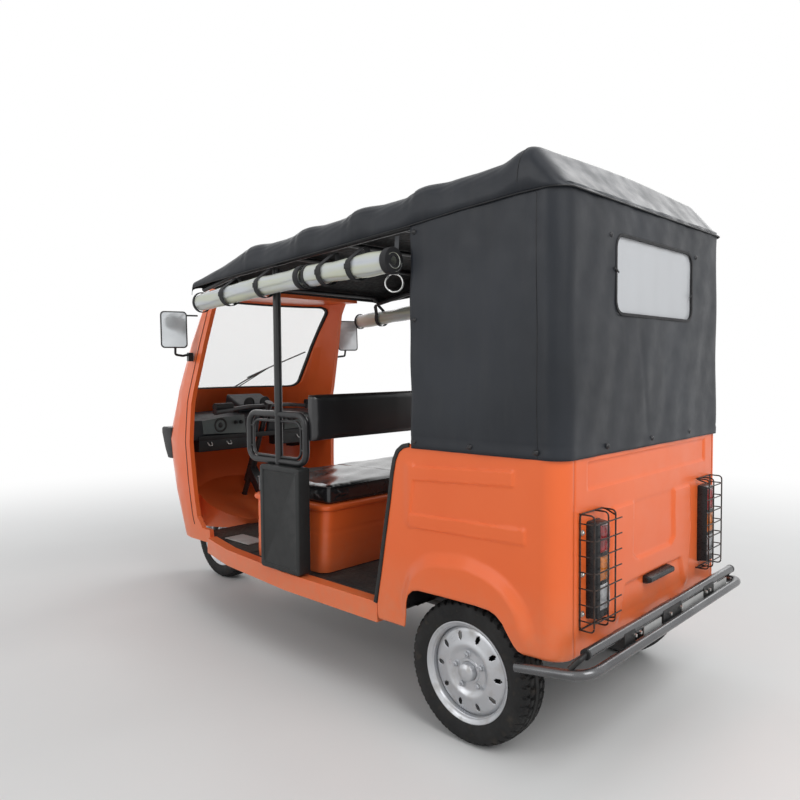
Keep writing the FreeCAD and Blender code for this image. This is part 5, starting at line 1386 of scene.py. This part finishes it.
class RICKSHAW_OT_seats(bpy.types.Operator):
    """Upholster the driver's seat, its wide backrest and the passenger bench, with seams and piping"""
    bl_idname = "rickshaw.seats"
    bl_label = "Seats"

    def execute(self, context):
        vinyl = vinyl_finish("seat_cover", (0.012, 0.012, 0.013), (0.2, 0.32))
        dull = vinyl_finish("back_cover", (0.01, 0.01, 0.011), (0.34, 0.48))
        self.cushion(
            "driver_pad", "driver_cushion", (-0.486, -0.282, 0.7006), (0.486, 0.244, 0.776), vinyl, 0.005, 0.006, 0.006,
            seams=(0.0,))
        self.cushion(
            "passenger_pad", "passenger_cushion", (-0.556, 0.784, 0.6906), (0.556, 1.276, 0.772), vinyl, 0.006, 0.01,
            0.007, seams=(-0.19, 0.19))
        self.backrest(dull)
        self.bench_back(vinyl)
        self.seat_box(context.scene.rickshaw_look)
        return {"FINISHED"}

    def cushion(self, name, node, low, high, vinyl, cap, crown, voxel, seams):
        """A pad between two corners, swollen, pressed in along its seams, softly wrinkled and piped round its top."""
        made = piece(name, pad_form(low, high, 0.022, crown), [vinyl], stands_for=[node], sharp=60)
        swollen(made, cap, 3.5, voxel)
        points = corners_of(made.data)
        top = step(points[:, 2] - (low[2] + high[2]) / 2, 0.02)
        for seam in seams:
            points[:, 2] -= 0.004 * top * np.exp(-((points[:, 0] - seam) / 0.006) ** 2)
        wrinkle = (
            0.0012 * np.sin(23 * points[:, 0] + 11 * points[:, 1])
            + 0.0008 * np.sin(51 * points[:, 1] - 17 * points[:, 0]))
        points[:, 2] += top * wrinkle
        points[:, 2] = np.maximum(points[:, 2], low[2])
        move_corners(made.data, points)
        ring = rounded(high[0] - low[0] - 0.004, high[1] - low[1] - 0.004, 0.024, 6)
        path = laid(ring, "z", high[2] - 0.004, ((low[0] + high[0]) / 2, (low[1] + high[1]) / 2))
        piece(name + "_piping", tube(path, 0.0028, 8, closed=True), [vinyl])

    def backrest(self, vinyl):
        """A wide pad on a board, its ends rounded forwards, with a welt along its top edge."""
        u = np.linspace(-1, 1, 91)
        half, middle_y, low, high = 0.588, 0.2525, 0.98, 1.17
        section = rounded(0.04, high - low, 0.017, 6)
        bend = np.clip((np.abs(u) - 0.93) / 0.07, 0, 1)
        x = half * u
        y = middle_y + 0.002 - 0.01 * bend ** 2
        rings = []
        for a, b, c in zip(x, y, u):
            squeeze = 1 - 0.25 * np.clip((abs(c) - 0.975) / 0.025, 0, 1) ** 2
            wave = 0.001 * np.sin(26 * a) + 0.0008 * np.sin(61 * a + 2)
            ring = section * (squeeze + wave * 8, 0.985 + 0.015 * squeeze)
            rings.append(laid(ring, "x", a, (b, (low + high) / 2)))
        made = piece("driver_back_pad", lofted(rings), [vinyl], stands_for=["driver_backrest"],
                     sharp=60)
        swollen(made, 0.0035, 3.0)
        welt = np.stack([x, y, np.full(len(x), high - 0.001)], -1)
        brown = finish("back_welt", (0.075, 0.045, 0.03), (0.05, 0.03, 0.02), 20, (0.35, 0.5), 600, 0.1, 0.0004)
        piece("driver_back_welt", tube(welt, 0.003, 8), [brown])

    def bench_back(self, vinyl):
        """The passengers' leaning back with three sewn fields."""
        low, foot, tall, lean, thick, half = 0.6915, 1.3185, 0.54, 0.07, 0.062, 0.536
        x = np.linspace(-half, half, 91)
        section = rounded(thick, tall, 0.022, 7)
        seams = sum(np.exp(-((x - at) / 0.008) ** 2) for at in (-0.185, 0.185))
        ends = np.sqrt(np.maximum(1 - (np.clip(np.abs(x) - half + 0.022, 0, None) / 0.0225) ** 2, 0.12))
        rings = []
        for a, s, e in zip(x, seams, ends):
            up = section[:, 1] * (0.93 + 0.07 * e) + tall / 2
            out = section[:, 0] * e
            front = out < 0
            out = out + front * (0.006 * s - 0.005 * np.sin(np.pi * np.clip(up / tall, 0, 1)) * (1 - s))
            rings.append(laid(np.stack([foot + out + lean * up / tall, low + up], -1), "x", a))
        made = piece("passenger_back_pad", lofted(rings), [vinyl], stands_for=["passenger_backrest"],
                     sharp=60)
        swollen(made, 0.005, 3.0, 0.007)

    def seat_box(self, look):
        """Moulded box: rounded corners, a rolled lip under the cushion and two pressed lines."""
        front, rear, half = -0.29, 0.252, 0.519
        levels = [(0.4005, -0.01), (0.404, -0.002), (0.43, 0.0)] + [(z, 0.0) for z in np.linspace(0.45, 0.66, 24)]
        levels += [
            (0.668, 0.0), (0.671, 0.003), (0.673, 0.009), (0.678, 0.012), (0.688, 0.0125), (0.694, 0.01),
            (0.698, 0.004), (0.6995, -0.006)]
        rings = []
        for z, grow in levels:
            taper = (0.7 - z) * 0.035
            lines = (
                -0.0035 * (np.exp(-((z - 0.575) / 0.0035) ** 2) + np.exp(-((z - 0.5) / 0.0035) ** 2)) if z < 0.66
                else 0)
            wide = 2 * half - 0.04 + 2 * (0.7 - z) * 0.033 + 2 * (grow + lines) - 0.004
            deep = rear - front - 2 * taper + 2 * (grow + lines) - 0.024
            rings.append(laid(rounded(wide, deep, 0.045, 9), "z", z, (0, (front + rear) / 2)))
        piece("moulded_seat_box", lofted(rings), [paint_finish("seat_box_paint", look)],
              stands_for=["driver_seat_box"], sharp=35)


def vinyl_finish(name, colour, rough):
    """Coated vinyl: a leather grain as bump, and wide soft creases."""
    g = Graph(name)
    wide = g.noise(4.0, 4.0)
    tone = g.mix(wide, colour, scaled(colour, 1.8))
    level = g.level(wide, *rough)
    grain = g.add("TexVoronoi", Vector=g.place, Scale=620.0)
    soft = g.bump(g.noise(16.0, 3.0), 0.2, 0.002)
    rise = g.bump(grain, 0.12, 0.0003, Normal=soft)
    return g.shade(Base_Color=tone, Roughness=level, Normal=rise, Specular_IOR_Level=0.4, Coat_Weight=0.5,
                   Coat_Roughness=0.16)


# Pieces of the frame kept in their form, with smooth arcs and eased edges.

def eased(node, bevel, body="body", own=None):
    """A copy of a node with its triangles joined, smooth across its arcs, and with a small round on its edges."""
    source = frame["nodes"][node]
    mesh = source.data.copy()
    mesh.name = "eased_" + node
    if "custom_normal" in mesh.attributes:
        mesh.attributes.remove(mesh.attributes["custom_normal"])
    joined = bmesh.new()
    joined.from_mesh(mesh)
    bmesh.ops.remove_doubles(joined, verts=joined.verts, dist=1e-5)
    bmesh.ops.dissolve_limit(joined, angle_limit=math.radians(0.6), verts=joined.verts, edges=joined.edges)
    joined.to_mesh(mesh)
    joined.free()
    mesh.polygons.foreach_set("use_smooth", np.ones(len(mesh.polygons), bool))
    mesh.set_sharp_from_angle(angle=math.radians(34))
    made = added("eased_" + node, mesh)
    mesh.materials.clear()
    mesh.materials.append(own or source.data.materials[0])
    if bevel:
        soft = made.modifiers.new("edges", "BEVEL")
        soft.width, soft.segments, soft.limit_method, soft.angle_limit = bevel, 2, "ANGLE", math.radians(34)
        soft.harden_normals = True
    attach(made, body)
    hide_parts(node)
    return made


class RICKSHAW_OT_frame_pieces(bpy.types.Operator):
    """Ease the edges of the cab's shell, the chassis, the axles and the other pieces that keep the frame's form"""
    bl_idname = "rickshaw.frame_pieces"
    bl_label = "Frame pieces"

    def execute(self, context):
        look = context.scene.rickshaw_look
        paint = paint_finish("shell_paint", look)
        floor = finish("floor_enamel", (0.02, 0.018, 0.017), (0.05, 0.045, 0.04), 9, (0.45, 0.7), 400, 0.2, 0.0006)
        for node, bevel, own in (
                ("front_shell", 0.0025, paint), ("sills", 0.003, paint), ("passenger_bench", 0.004, paint),
                ("wheel_well", 0.001, paint), ("floor_pan", 0.001, floor), ("chassis_frame", 0.002, None),
                ("rear_axle", 0.001, None), ("leaf_springs", 0.001, None), ("roof_frame", 0.0008, None),
                ("rear_posts", 0.001, None), ("wheel_houses", 0.002, None), ("windscreen", 0, None),
                ("instrument_hood", 0.009, None), ("dashboard", 0.006, None)):
            eased(node, bevel, own=own)
        for node in ("fork", "handlebar", "front_mudguard"):
            eased(node, 0.001, body="steering")
        return {"FINISHED"}


# The cab: what is fitted to its shell and its floor.

class Shell:
    """Places on the cab's shell, found by rays against the frame."""
    trees = {}

    @classmethod
    def struck(cls, node, start, way):
        """Where a ray from a point first meets a node."""
        if node not in cls.trees:
            mesh = frame["nodes"][node].data
            cls.trees[node] = BVHTree.FromPolygons(
                [v.co.copy() for v in mesh.vertices], [tuple(f.vertices) for f in mesh.polygons])
        place = cls.trees[node].ray_cast(start, way)[0]
        if place is None:
            raise RuntimeError("no %s at %s" % (node, tuple(start)))
        return np.array(place)

    @classmethod
    def door(cls, z):
        """Place of the door's front edge at a level."""
        return line(
            z, (0.45, -0.8), (0.505, -0.818), (0.7, -0.838), (0.9, -0.842), (1.1, -0.837), (1.6, -0.69), (1.66, -0.65))

    @classmethod
    def window(cls, grow):
        """The windscreen's outline in front view."""
        low, high, bottom, top = 0.406 + grow, 0.418 + grow, 1.165 - grow, 1.655 + grow
        reach = 0.046
        corners = [(-low, bottom), (low, bottom), (high, top), (-high, top)]
        ring = np.vstack([corners[-1:], corners, corners[:1]])
        made = []
        for before, corner, after in zip(ring, ring[1:], ring[2:]):
            end = corner + unit(after - corner) * reach
            made.append(round_corner(corner + unit(before - corner) * reach, corner, end, 7))
            run = np.linspace(0, 1, 9)[1:-1, None]
            made.append(end + (after + unit(corner - after) * reach - end) * run)
        return np.vstack(made)


class RICKSHAW_OT_cab(bpy.types.Operator):
    """Fit the windscreen's seal and wiper, the shell's seam, the mirrors, the corner lamps and the door trims"""
    bl_idname = "rickshaw.cab"
    bl_label = "Cab fittings"

    def execute(self, context):
        rubber = finish("seal_rubber", (0.01, 0.01, 0.01), (0.02, 0.02, 0.02), 25, (0.4, 0.6), 700, 0.15, 0.0004)
        black = finish(
            "moulded_black", (0.011, 0.011, 0.012), (0.018, 0.018, 0.019), 12, (0.3, 0.45), 800, 0.15, 0.0004)
        self.seal(rubber)
        self.wiper(black)
        self.mirrors(black)
        self.corner_lamps(black)
        self.trims(rubber)
        return {"FINISHED"}

    def seal(self, rubber):
        """A rubber cord round the glass on each of its faces."""
        made = []
        for start, way, lift in ((0.0, -1, 0.002), (-2.5, 1, -0.002)):
            path = np.array([Shell.struck("windscreen", (x, start, z), (0, way, 0)) for x, z in Shell.window(-0.0035)])
            path[:, 1] += lift
            made += tube(path, 0.0065, 10, closed=True, up=(0.1, 1.0, 0.05))
        piece("windscreen_seal", made, [rubber])

    def wiper(self, black):
        """A spindle on the shell, two thin arms and a blade that lies along the glass."""
        spindle = Shell.struck("front_shell", (0.03, -2.5, 1.125), (0, 1, 0))
        ends = []
        for x, z in ((-0.105, 1.215), (-0.23, 1.29), (-0.4, 1.385)):
            ends.append(Shell.struck("windscreen", (x, -2.5, z), (0, 1, 0)) + (0, -0.018, 0))
        start = spindle + (0, -0.022, 0)
        made = tube([start, ends[0], ends[1] + (0, -0.006, 0)], 0.0042, 8)
        made += tube(
            [start + (0.004, 0, -0.018), ends[0] + (0.006, -0.002, -0.016), ends[1] + (0, -0.006, 0)], 0.003, 8)
        made += sweep(
            [ends[0] + (0.0, 0.004, 0.012), ends[1] + (0, 0.003, 0.002), ends[2]], rounded(0.007, 0.014, 0.002, 3),
            up=(0.0, 1.0, 0.1))
        made.append(turned([(0.0, 0.02), (-0.012, 0.02), (-0.03, 0.013), (-0.034, 0.0005)], spindle, 20, axis="y"))
        piece("wiper", made, [black], sharp=45)

    def mirrors(self, black):
        """A rounded housing on two stays, with its glass set into the rear face."""
        rows = ((0, -0.11, 0.0112), (0.004, -0.05, 0.02), (0.014, -0.012, 0.024), (0.028, -0.002, 0.022),
                (0.036, 0, 0.02), (0.04, -0.004, 0.019), (0.04, -0.011, 0.016), (0.0365, -0.0135, 0.015))
        rings = stepped(0.134, 0.19, rows, "y", 0, steps=6)
        case, glass = lofted(rings), fan(rings[-1] + (0, 0.0012, 0))
        silver = finish(
            "mirror_glass", (0.74, 0.77, 0.79), (0.6, 0.63, 0.65), 7, (0.05, 0.12), 60, 0.02, 0.0002, Metallic=0.55)
        cases, panes = [], []
        for sign, out in ((1, 0.568), (-1, 0.64)):
            tilt = np.eye(4)
            tilt[:3, :3] = Matrix.Rotation(math.radians(-20), 3, "Z") @ Matrix.Rotation(math.radians(3), 3, "X")
            tilt[:3, 3] = (sign * out, -0.874, 1.484)
            cases += [moved(chunk, tilt) for chunk in case]
            panes.append(moved(glass, tilt))
            low = np.array([
                (0.48, -0.848, 1.362), (0.52, -0.862, 1.352), (0.56, -0.868, 1.358), (0.562, -0.862, 1.412)])
            high = np.array([(0.462, -0.808, 1.56), (0.52, -0.872, 1.563), (0.566, -0.866, 1.545)])
            for stay in (low, high):
                stay[:, 0] = sign * np.interp(stay[:, 0], (0.44, 0.48, 0.568), (0.44, 0.48, out))
            cases += tube(bent(low, 0.012), 0.0062, 12) + tube(bent(high, 0.02), 0.0045, 10)
            cases += sweep(
                [(sign * 0.474, -0.846, 1.346), (sign * 0.498, -0.852, 1.346)], rounded(0.034, 0.046, 0.007, 4))
        piece("cased_mirrors", cases, [black], stands_for=["mirrors"], sharp=38)
        piece("mirror_glass", panes, [silver])

    def corner_lamps(self, black):
        """Black housings that taper downwards round the shell's corners, with a ribbed lens in front."""
        middle = 0.424
        rings = []
        for z, out, deep, bend in (
                (0.786, 0.028, 0.06, 0.01), (0.79, 0.034, 0.072, 0.012), (0.84, 0.044, 0.092, 0.014),
                (0.93, 0.056, 0.116, 0.016), (0.955, 0.056, 0.116, 0.016), (0.962, 0.05, 0.104, 0.014)):
            rings.append(laid(rounded(out + 0.05, deep, bend, 6), "z", z, (middle + (out - 0.056) / 2, -1.132)))
        made = lofted(rings)
        u, v = np.meshgrid(np.linspace(-1, 1, 33), np.linspace(-1, 1, 33), indexing="ij")
        squared = np.maximum((1 - np.abs(u) ** 8) * (1 - np.abs(v) ** 8), 0)
        half = 0.034 + 0.008 * v
        dome = 0.012 * np.sqrt(squared) + 0.0006 * np.sin(30 * u) * squared
        lens = grid(np.stack([middle + u * half, -1.176 - 0.006 * v - dome, 0.884 + 0.06 * v], -1))
        piece(
            "corner_lamps", made + mirror_x(made), [black], stands_for=["front_lamps"], sharp=40)
        piece(
            "corner_lenses", [lens] + mirror_x([lens]), [lens_finish("lens_front", (0.55, 0.56, 0.56))])

    def trims(self, rubber):
        """Black strips: along the rear body's front edge, and between the shell's skin and its door frame."""
        edge = [(0.6285, y - 0.006, z) for y, z in (
            (0.672, 0.412), (0.695, 0.519), (0.722, 0.667), (0.748, 0.804), (0.763, 0.9), (0.775, 0.952),
            (0.792, 0.985), (0.818, 1.004), (0.848, 1.01))]
        strip = sweep(bent(edge, 0.03, 2), rounded(0.016, 0.01, 0.003, 4), up=(1.0, 0, 0))
        seam = []
        for z in np.linspace(0.46, 1.6, 40):
            seam.append(Shell.struck("front_shell", (1.0, float(Shell.door(z)) - 0.045, float(z)), (-1, 0, 0)))
        seam = tube(np.array(seam) + (0.0004, 0, 0), 0.0022, 8)
        piece("edge_trims", strip + seam + mirror_x(strip + seam), [rubber], sharp=45)


class RICKSHAW_OT_interior(bpy.types.Operator):
    """Fit the dashboard's plates, tray, hooks and knobs, the grips, the mats and the grab straps"""
    bl_idname = "rickshaw.interior"
    bl_label = "Cab interior"

    def execute(self, context):
        black = finish("fitting_black", (0.01, 0.01, 0.011), (0.018, 0.018, 0.018), 18, (0.35, 0.5), 800, 0.15, 0.0004)
        self.dashboard(black)
        self.bar(black)
        self.floor()
        self.grab_straps()
        return {"FINISHED"}

    def dashboard(self, black):
        """Plates with their speakers and knobs, a split tray, a lip, four hooks and the hood's two dials."""
        face = -0.87
        grey = finish("facia_grey", (0.115, 0.135, 0.13), (0.085, 0.1, 0.1), 9, (0.38, 0.52), 900, 0.2, 0.0004)
        plates, dark, bright = [], [], []
        for sign in (-1, 1):
            outline = (
                np.array([(0.135, 0.922), (0.405, 0.932), (0.412, 1.004), (0.3, 1.017), (0.145, 1.0255)]) * (sign, 1))
            inner = outline.mean(0) + (outline - outline.mean(0)) * 0.965
            plates += lofted([laid(shape, "y", face + depth)
                              for depth, shape in ((0.0004, outline), (0.005, outline), (0.0065, inner))])
            speaker = [(0.0066, 0.04), (0.0105, 0.038), (0.0105, 0.034), (0.0075, 0.032), (0.0035, 0.018),
                       (0.0075, 0.014), (0.01, 0.008), (0.0105, 0.0004)]
            dark.append(turned(speaker, (sign * 0.3, face, 0.975), 32, axis="y"))
            for x in (0.17, 0.205):
                knob = [(0.0066, 0.011), (0.014, 0.01), (0.022, 0.008), (0.023, 0.0004)]
                dark.append(turned(knob, (sign * x, face, 0.985), 18, axis="y"))
        for sign in (-1, 1):
            tray = [(sign * 0.09, face - 0.045, 0.867), (sign * 0.43, face - 0.045, 0.867)]
            dark += sweep(tray, rounded(0.085, 0.064, 0.006, 4))
        dark += sweep([(-0.43, face - 0.006, 0.906), (0.43, face - 0.006, 0.906)], rounded(0.006, 0.028, 0.002, 3))
        for x in (0.365, 0.245, -0.245, -0.365):
            hook = [(x - 0.012, face - 0.002, 0.884), (x - 0.01, face + 0.012, 0.868),
                    (x + 0.01, face + 0.012, 0.868), (x + 0.012, face - 0.002, 0.884)]
            bright += tube(bent(hook, 0.006, 3), 0.0024, 8)
        dials = []
        for x in (-0.055, 0.055):
            dials.append(turned([(0.0, 0.036), (0.006, 0.035), (0.007, 0.031), (0.003, 0.03), (0.003, 0.0004)],
                                (x, -0.9455, 1.083), 32, axis="y"))
        piece("dash_plates", plates, [grey], sharp=30)
        piece("dash_fittings", dark + dials, [black], sharp=40)
        piece("dash_hooks", bright, [metal_finish("hook_steel", (0.7, 0.7, 0.69))])

    def bar(self, black):
        """Ribs round the handlebar's grips."""
        made = []
        low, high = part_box("handlebar")
        length, slant = 0.125, 0.16
        end = np.array([high[0], high[1] - 0.017, (low[2] + high[2]) / 2 + 0.012])
        start = end - length * np.array([1, slant, 0])
        way = unit(end - start)
        for number, share in enumerate(np.linspace(0, 1, 25)[1:-1]):
            at = start + (end - start) * share
            made += tube([at - way * 0.0015, at + way * 0.0015], 0.0185 + 0.0004 * (number % 2), 16)
        piece("grip_ribs", made + mirror_x(made), [black], body="steering", sharp=50)

    def floor(self):
        """A ribbed rubber mat before the seat, another behind it, and a pale foot plate."""
        rubber = finish("mat_rubber", (0.014, 0.013, 0.013), (0.04, 0.035, 0.03), 8, (0.55, 0.8), 600, 0.25, 0.0005)
        made = []
        half = 0.531
        for front, rear in ((-0.695, -0.315), (0.275, 0.79)):
            x, y = np.meshgrid(np.linspace(-half, half, 195), np.linspace(front, rear, 9), indexing="ij")
            ribs = 0.0016 * (0.5 + 0.5 * np.sign(np.sin(2 * np.pi * x / 0.022)))
            lip = step(half - np.abs(x), 0.004) * step(y - front + 0.0005, 0.001) * step(rear - y + 0.0005, 0.001)
            reach = line(y, (-0.7, 0.446), (-0.65, 0.446), (-0.45, 0.495), (-0.315, 0.528), (0.0, half))
            made.append(np.stack([x * reach / half, y, 0.4004 + (0.004 + ribs) * lip], -1))
        piece("floor_mats", [grid(points) for points in made], [rubber], sharp=30, shell=True)
        pale = metal_finish("foot_plate", (0.62, 0.61, 0.59), (0.35, 0.5), 0.4)
        plate = sweep([(0.375, -0.64, 0.4085), (0.375, -0.43, 0.4085)], rounded(0.11, 0.004, 0.0015, 3))
        piece("foot_plate", plate, [pale], sharp=40)

    def grab_straps(self):
        """A grey webbing strap from the roof's rail on each side, with a pale steel ring at its end."""
        strap, rings = [], []
        turn = np.linspace(0, 2 * np.pi, 32, endpoint=False)
        for sign in (-1, 1):
            path = (
                np.array([(0.598, 0.764, 1.752), (0.602, 0.762, 1.69), (0.602, 0.754, 1.632), (0.6, 0.75, 1.617)])
                * (sign, 1, 1))
            strap += sweep(path, rounded(0.003, 0.022, 0.001, 2), up=(0, 1.0, 0))
            ring = np.stack([sign * (0.6 - 0.022 * np.cos(turn)), 0.748 + 0.023 * np.cos(turn),
                             1.586 + 0.032 * np.sin(turn)], -1)
            rings += tube(ring, 0.0034, 10, closed=True, up=(1.0, 0, 0.02))
        piece("grab_straps", strap, [webbing("strap_grey", (0.06, 0.062, 0.066))])
        piece(
            "grab_rings", rings, [metal_finish("ring_steel", (0.75, 0.75, 0.74), (0.12, 0.25), 0.95)])


class RICKSHAW_PT_build(bpy.types.Panel):
    """The steps of the build, in their order"""
    bl_label = "Rickshaw"
    bl_idname = "RICKSHAW_PT_build"
    bl_space_type = "VIEW_3D"
    bl_region_type = "UI"
    bl_category = "Rickshaw"

    def draw(self, context):
        for step in STEPS:
            self.layout.operator(step.bl_idname)
        for group in (context.scene.rickshaw_look, context.scene.rickshaw_view):
            for name in group.__annotations__:
                self.layout.prop(group, name)


STEPS = (
    RICKSHAW_OT_stage, RICKSHAW_OT_frame, RICKSHAW_OT_body, RICKSHAW_OT_canopy, RICKSHAW_OT_curtain,
    RICKSHAW_OT_wheels, RICKSHAW_OT_rolls, RICKSHAW_OT_lamps, RICKSHAW_OT_bumper, RICKSHAW_OT_posts, RICKSHAW_OT_seats,
    RICKSHAW_OT_frame_pieces, RICKSHAW_OT_cab, RICKSHAW_OT_interior,
)
CLASSES = (RickshawLook, RickshawView, RICKSHAW_PT_build) + STEPS


def register():
    """Make the settings, the steps and the panel known to Blender."""
    for made in CLASSES:
        bpy.utils.register_class(made)
    bpy.types.Scene.rickshaw_look = bpy.props.PointerProperty(type=RickshawLook)
    bpy.types.Scene.rickshaw_view = bpy.props.PointerProperty(type=RickshawView)


def unregister():
    """Take them away again."""
    del bpy.types.Scene.rickshaw_view
    del bpy.types.Scene.rickshaw_look
    for made in reversed(CLASSES):
        bpy.utils.unregister_class(made)


def main():
    """Run the steps in order."""
    register()
    for step in STEPS:
        group, name = step.bl_idname.split(".")
        getattr(getattr(bpy.ops, group), name)()


if __name__ == "__main__":
    main()
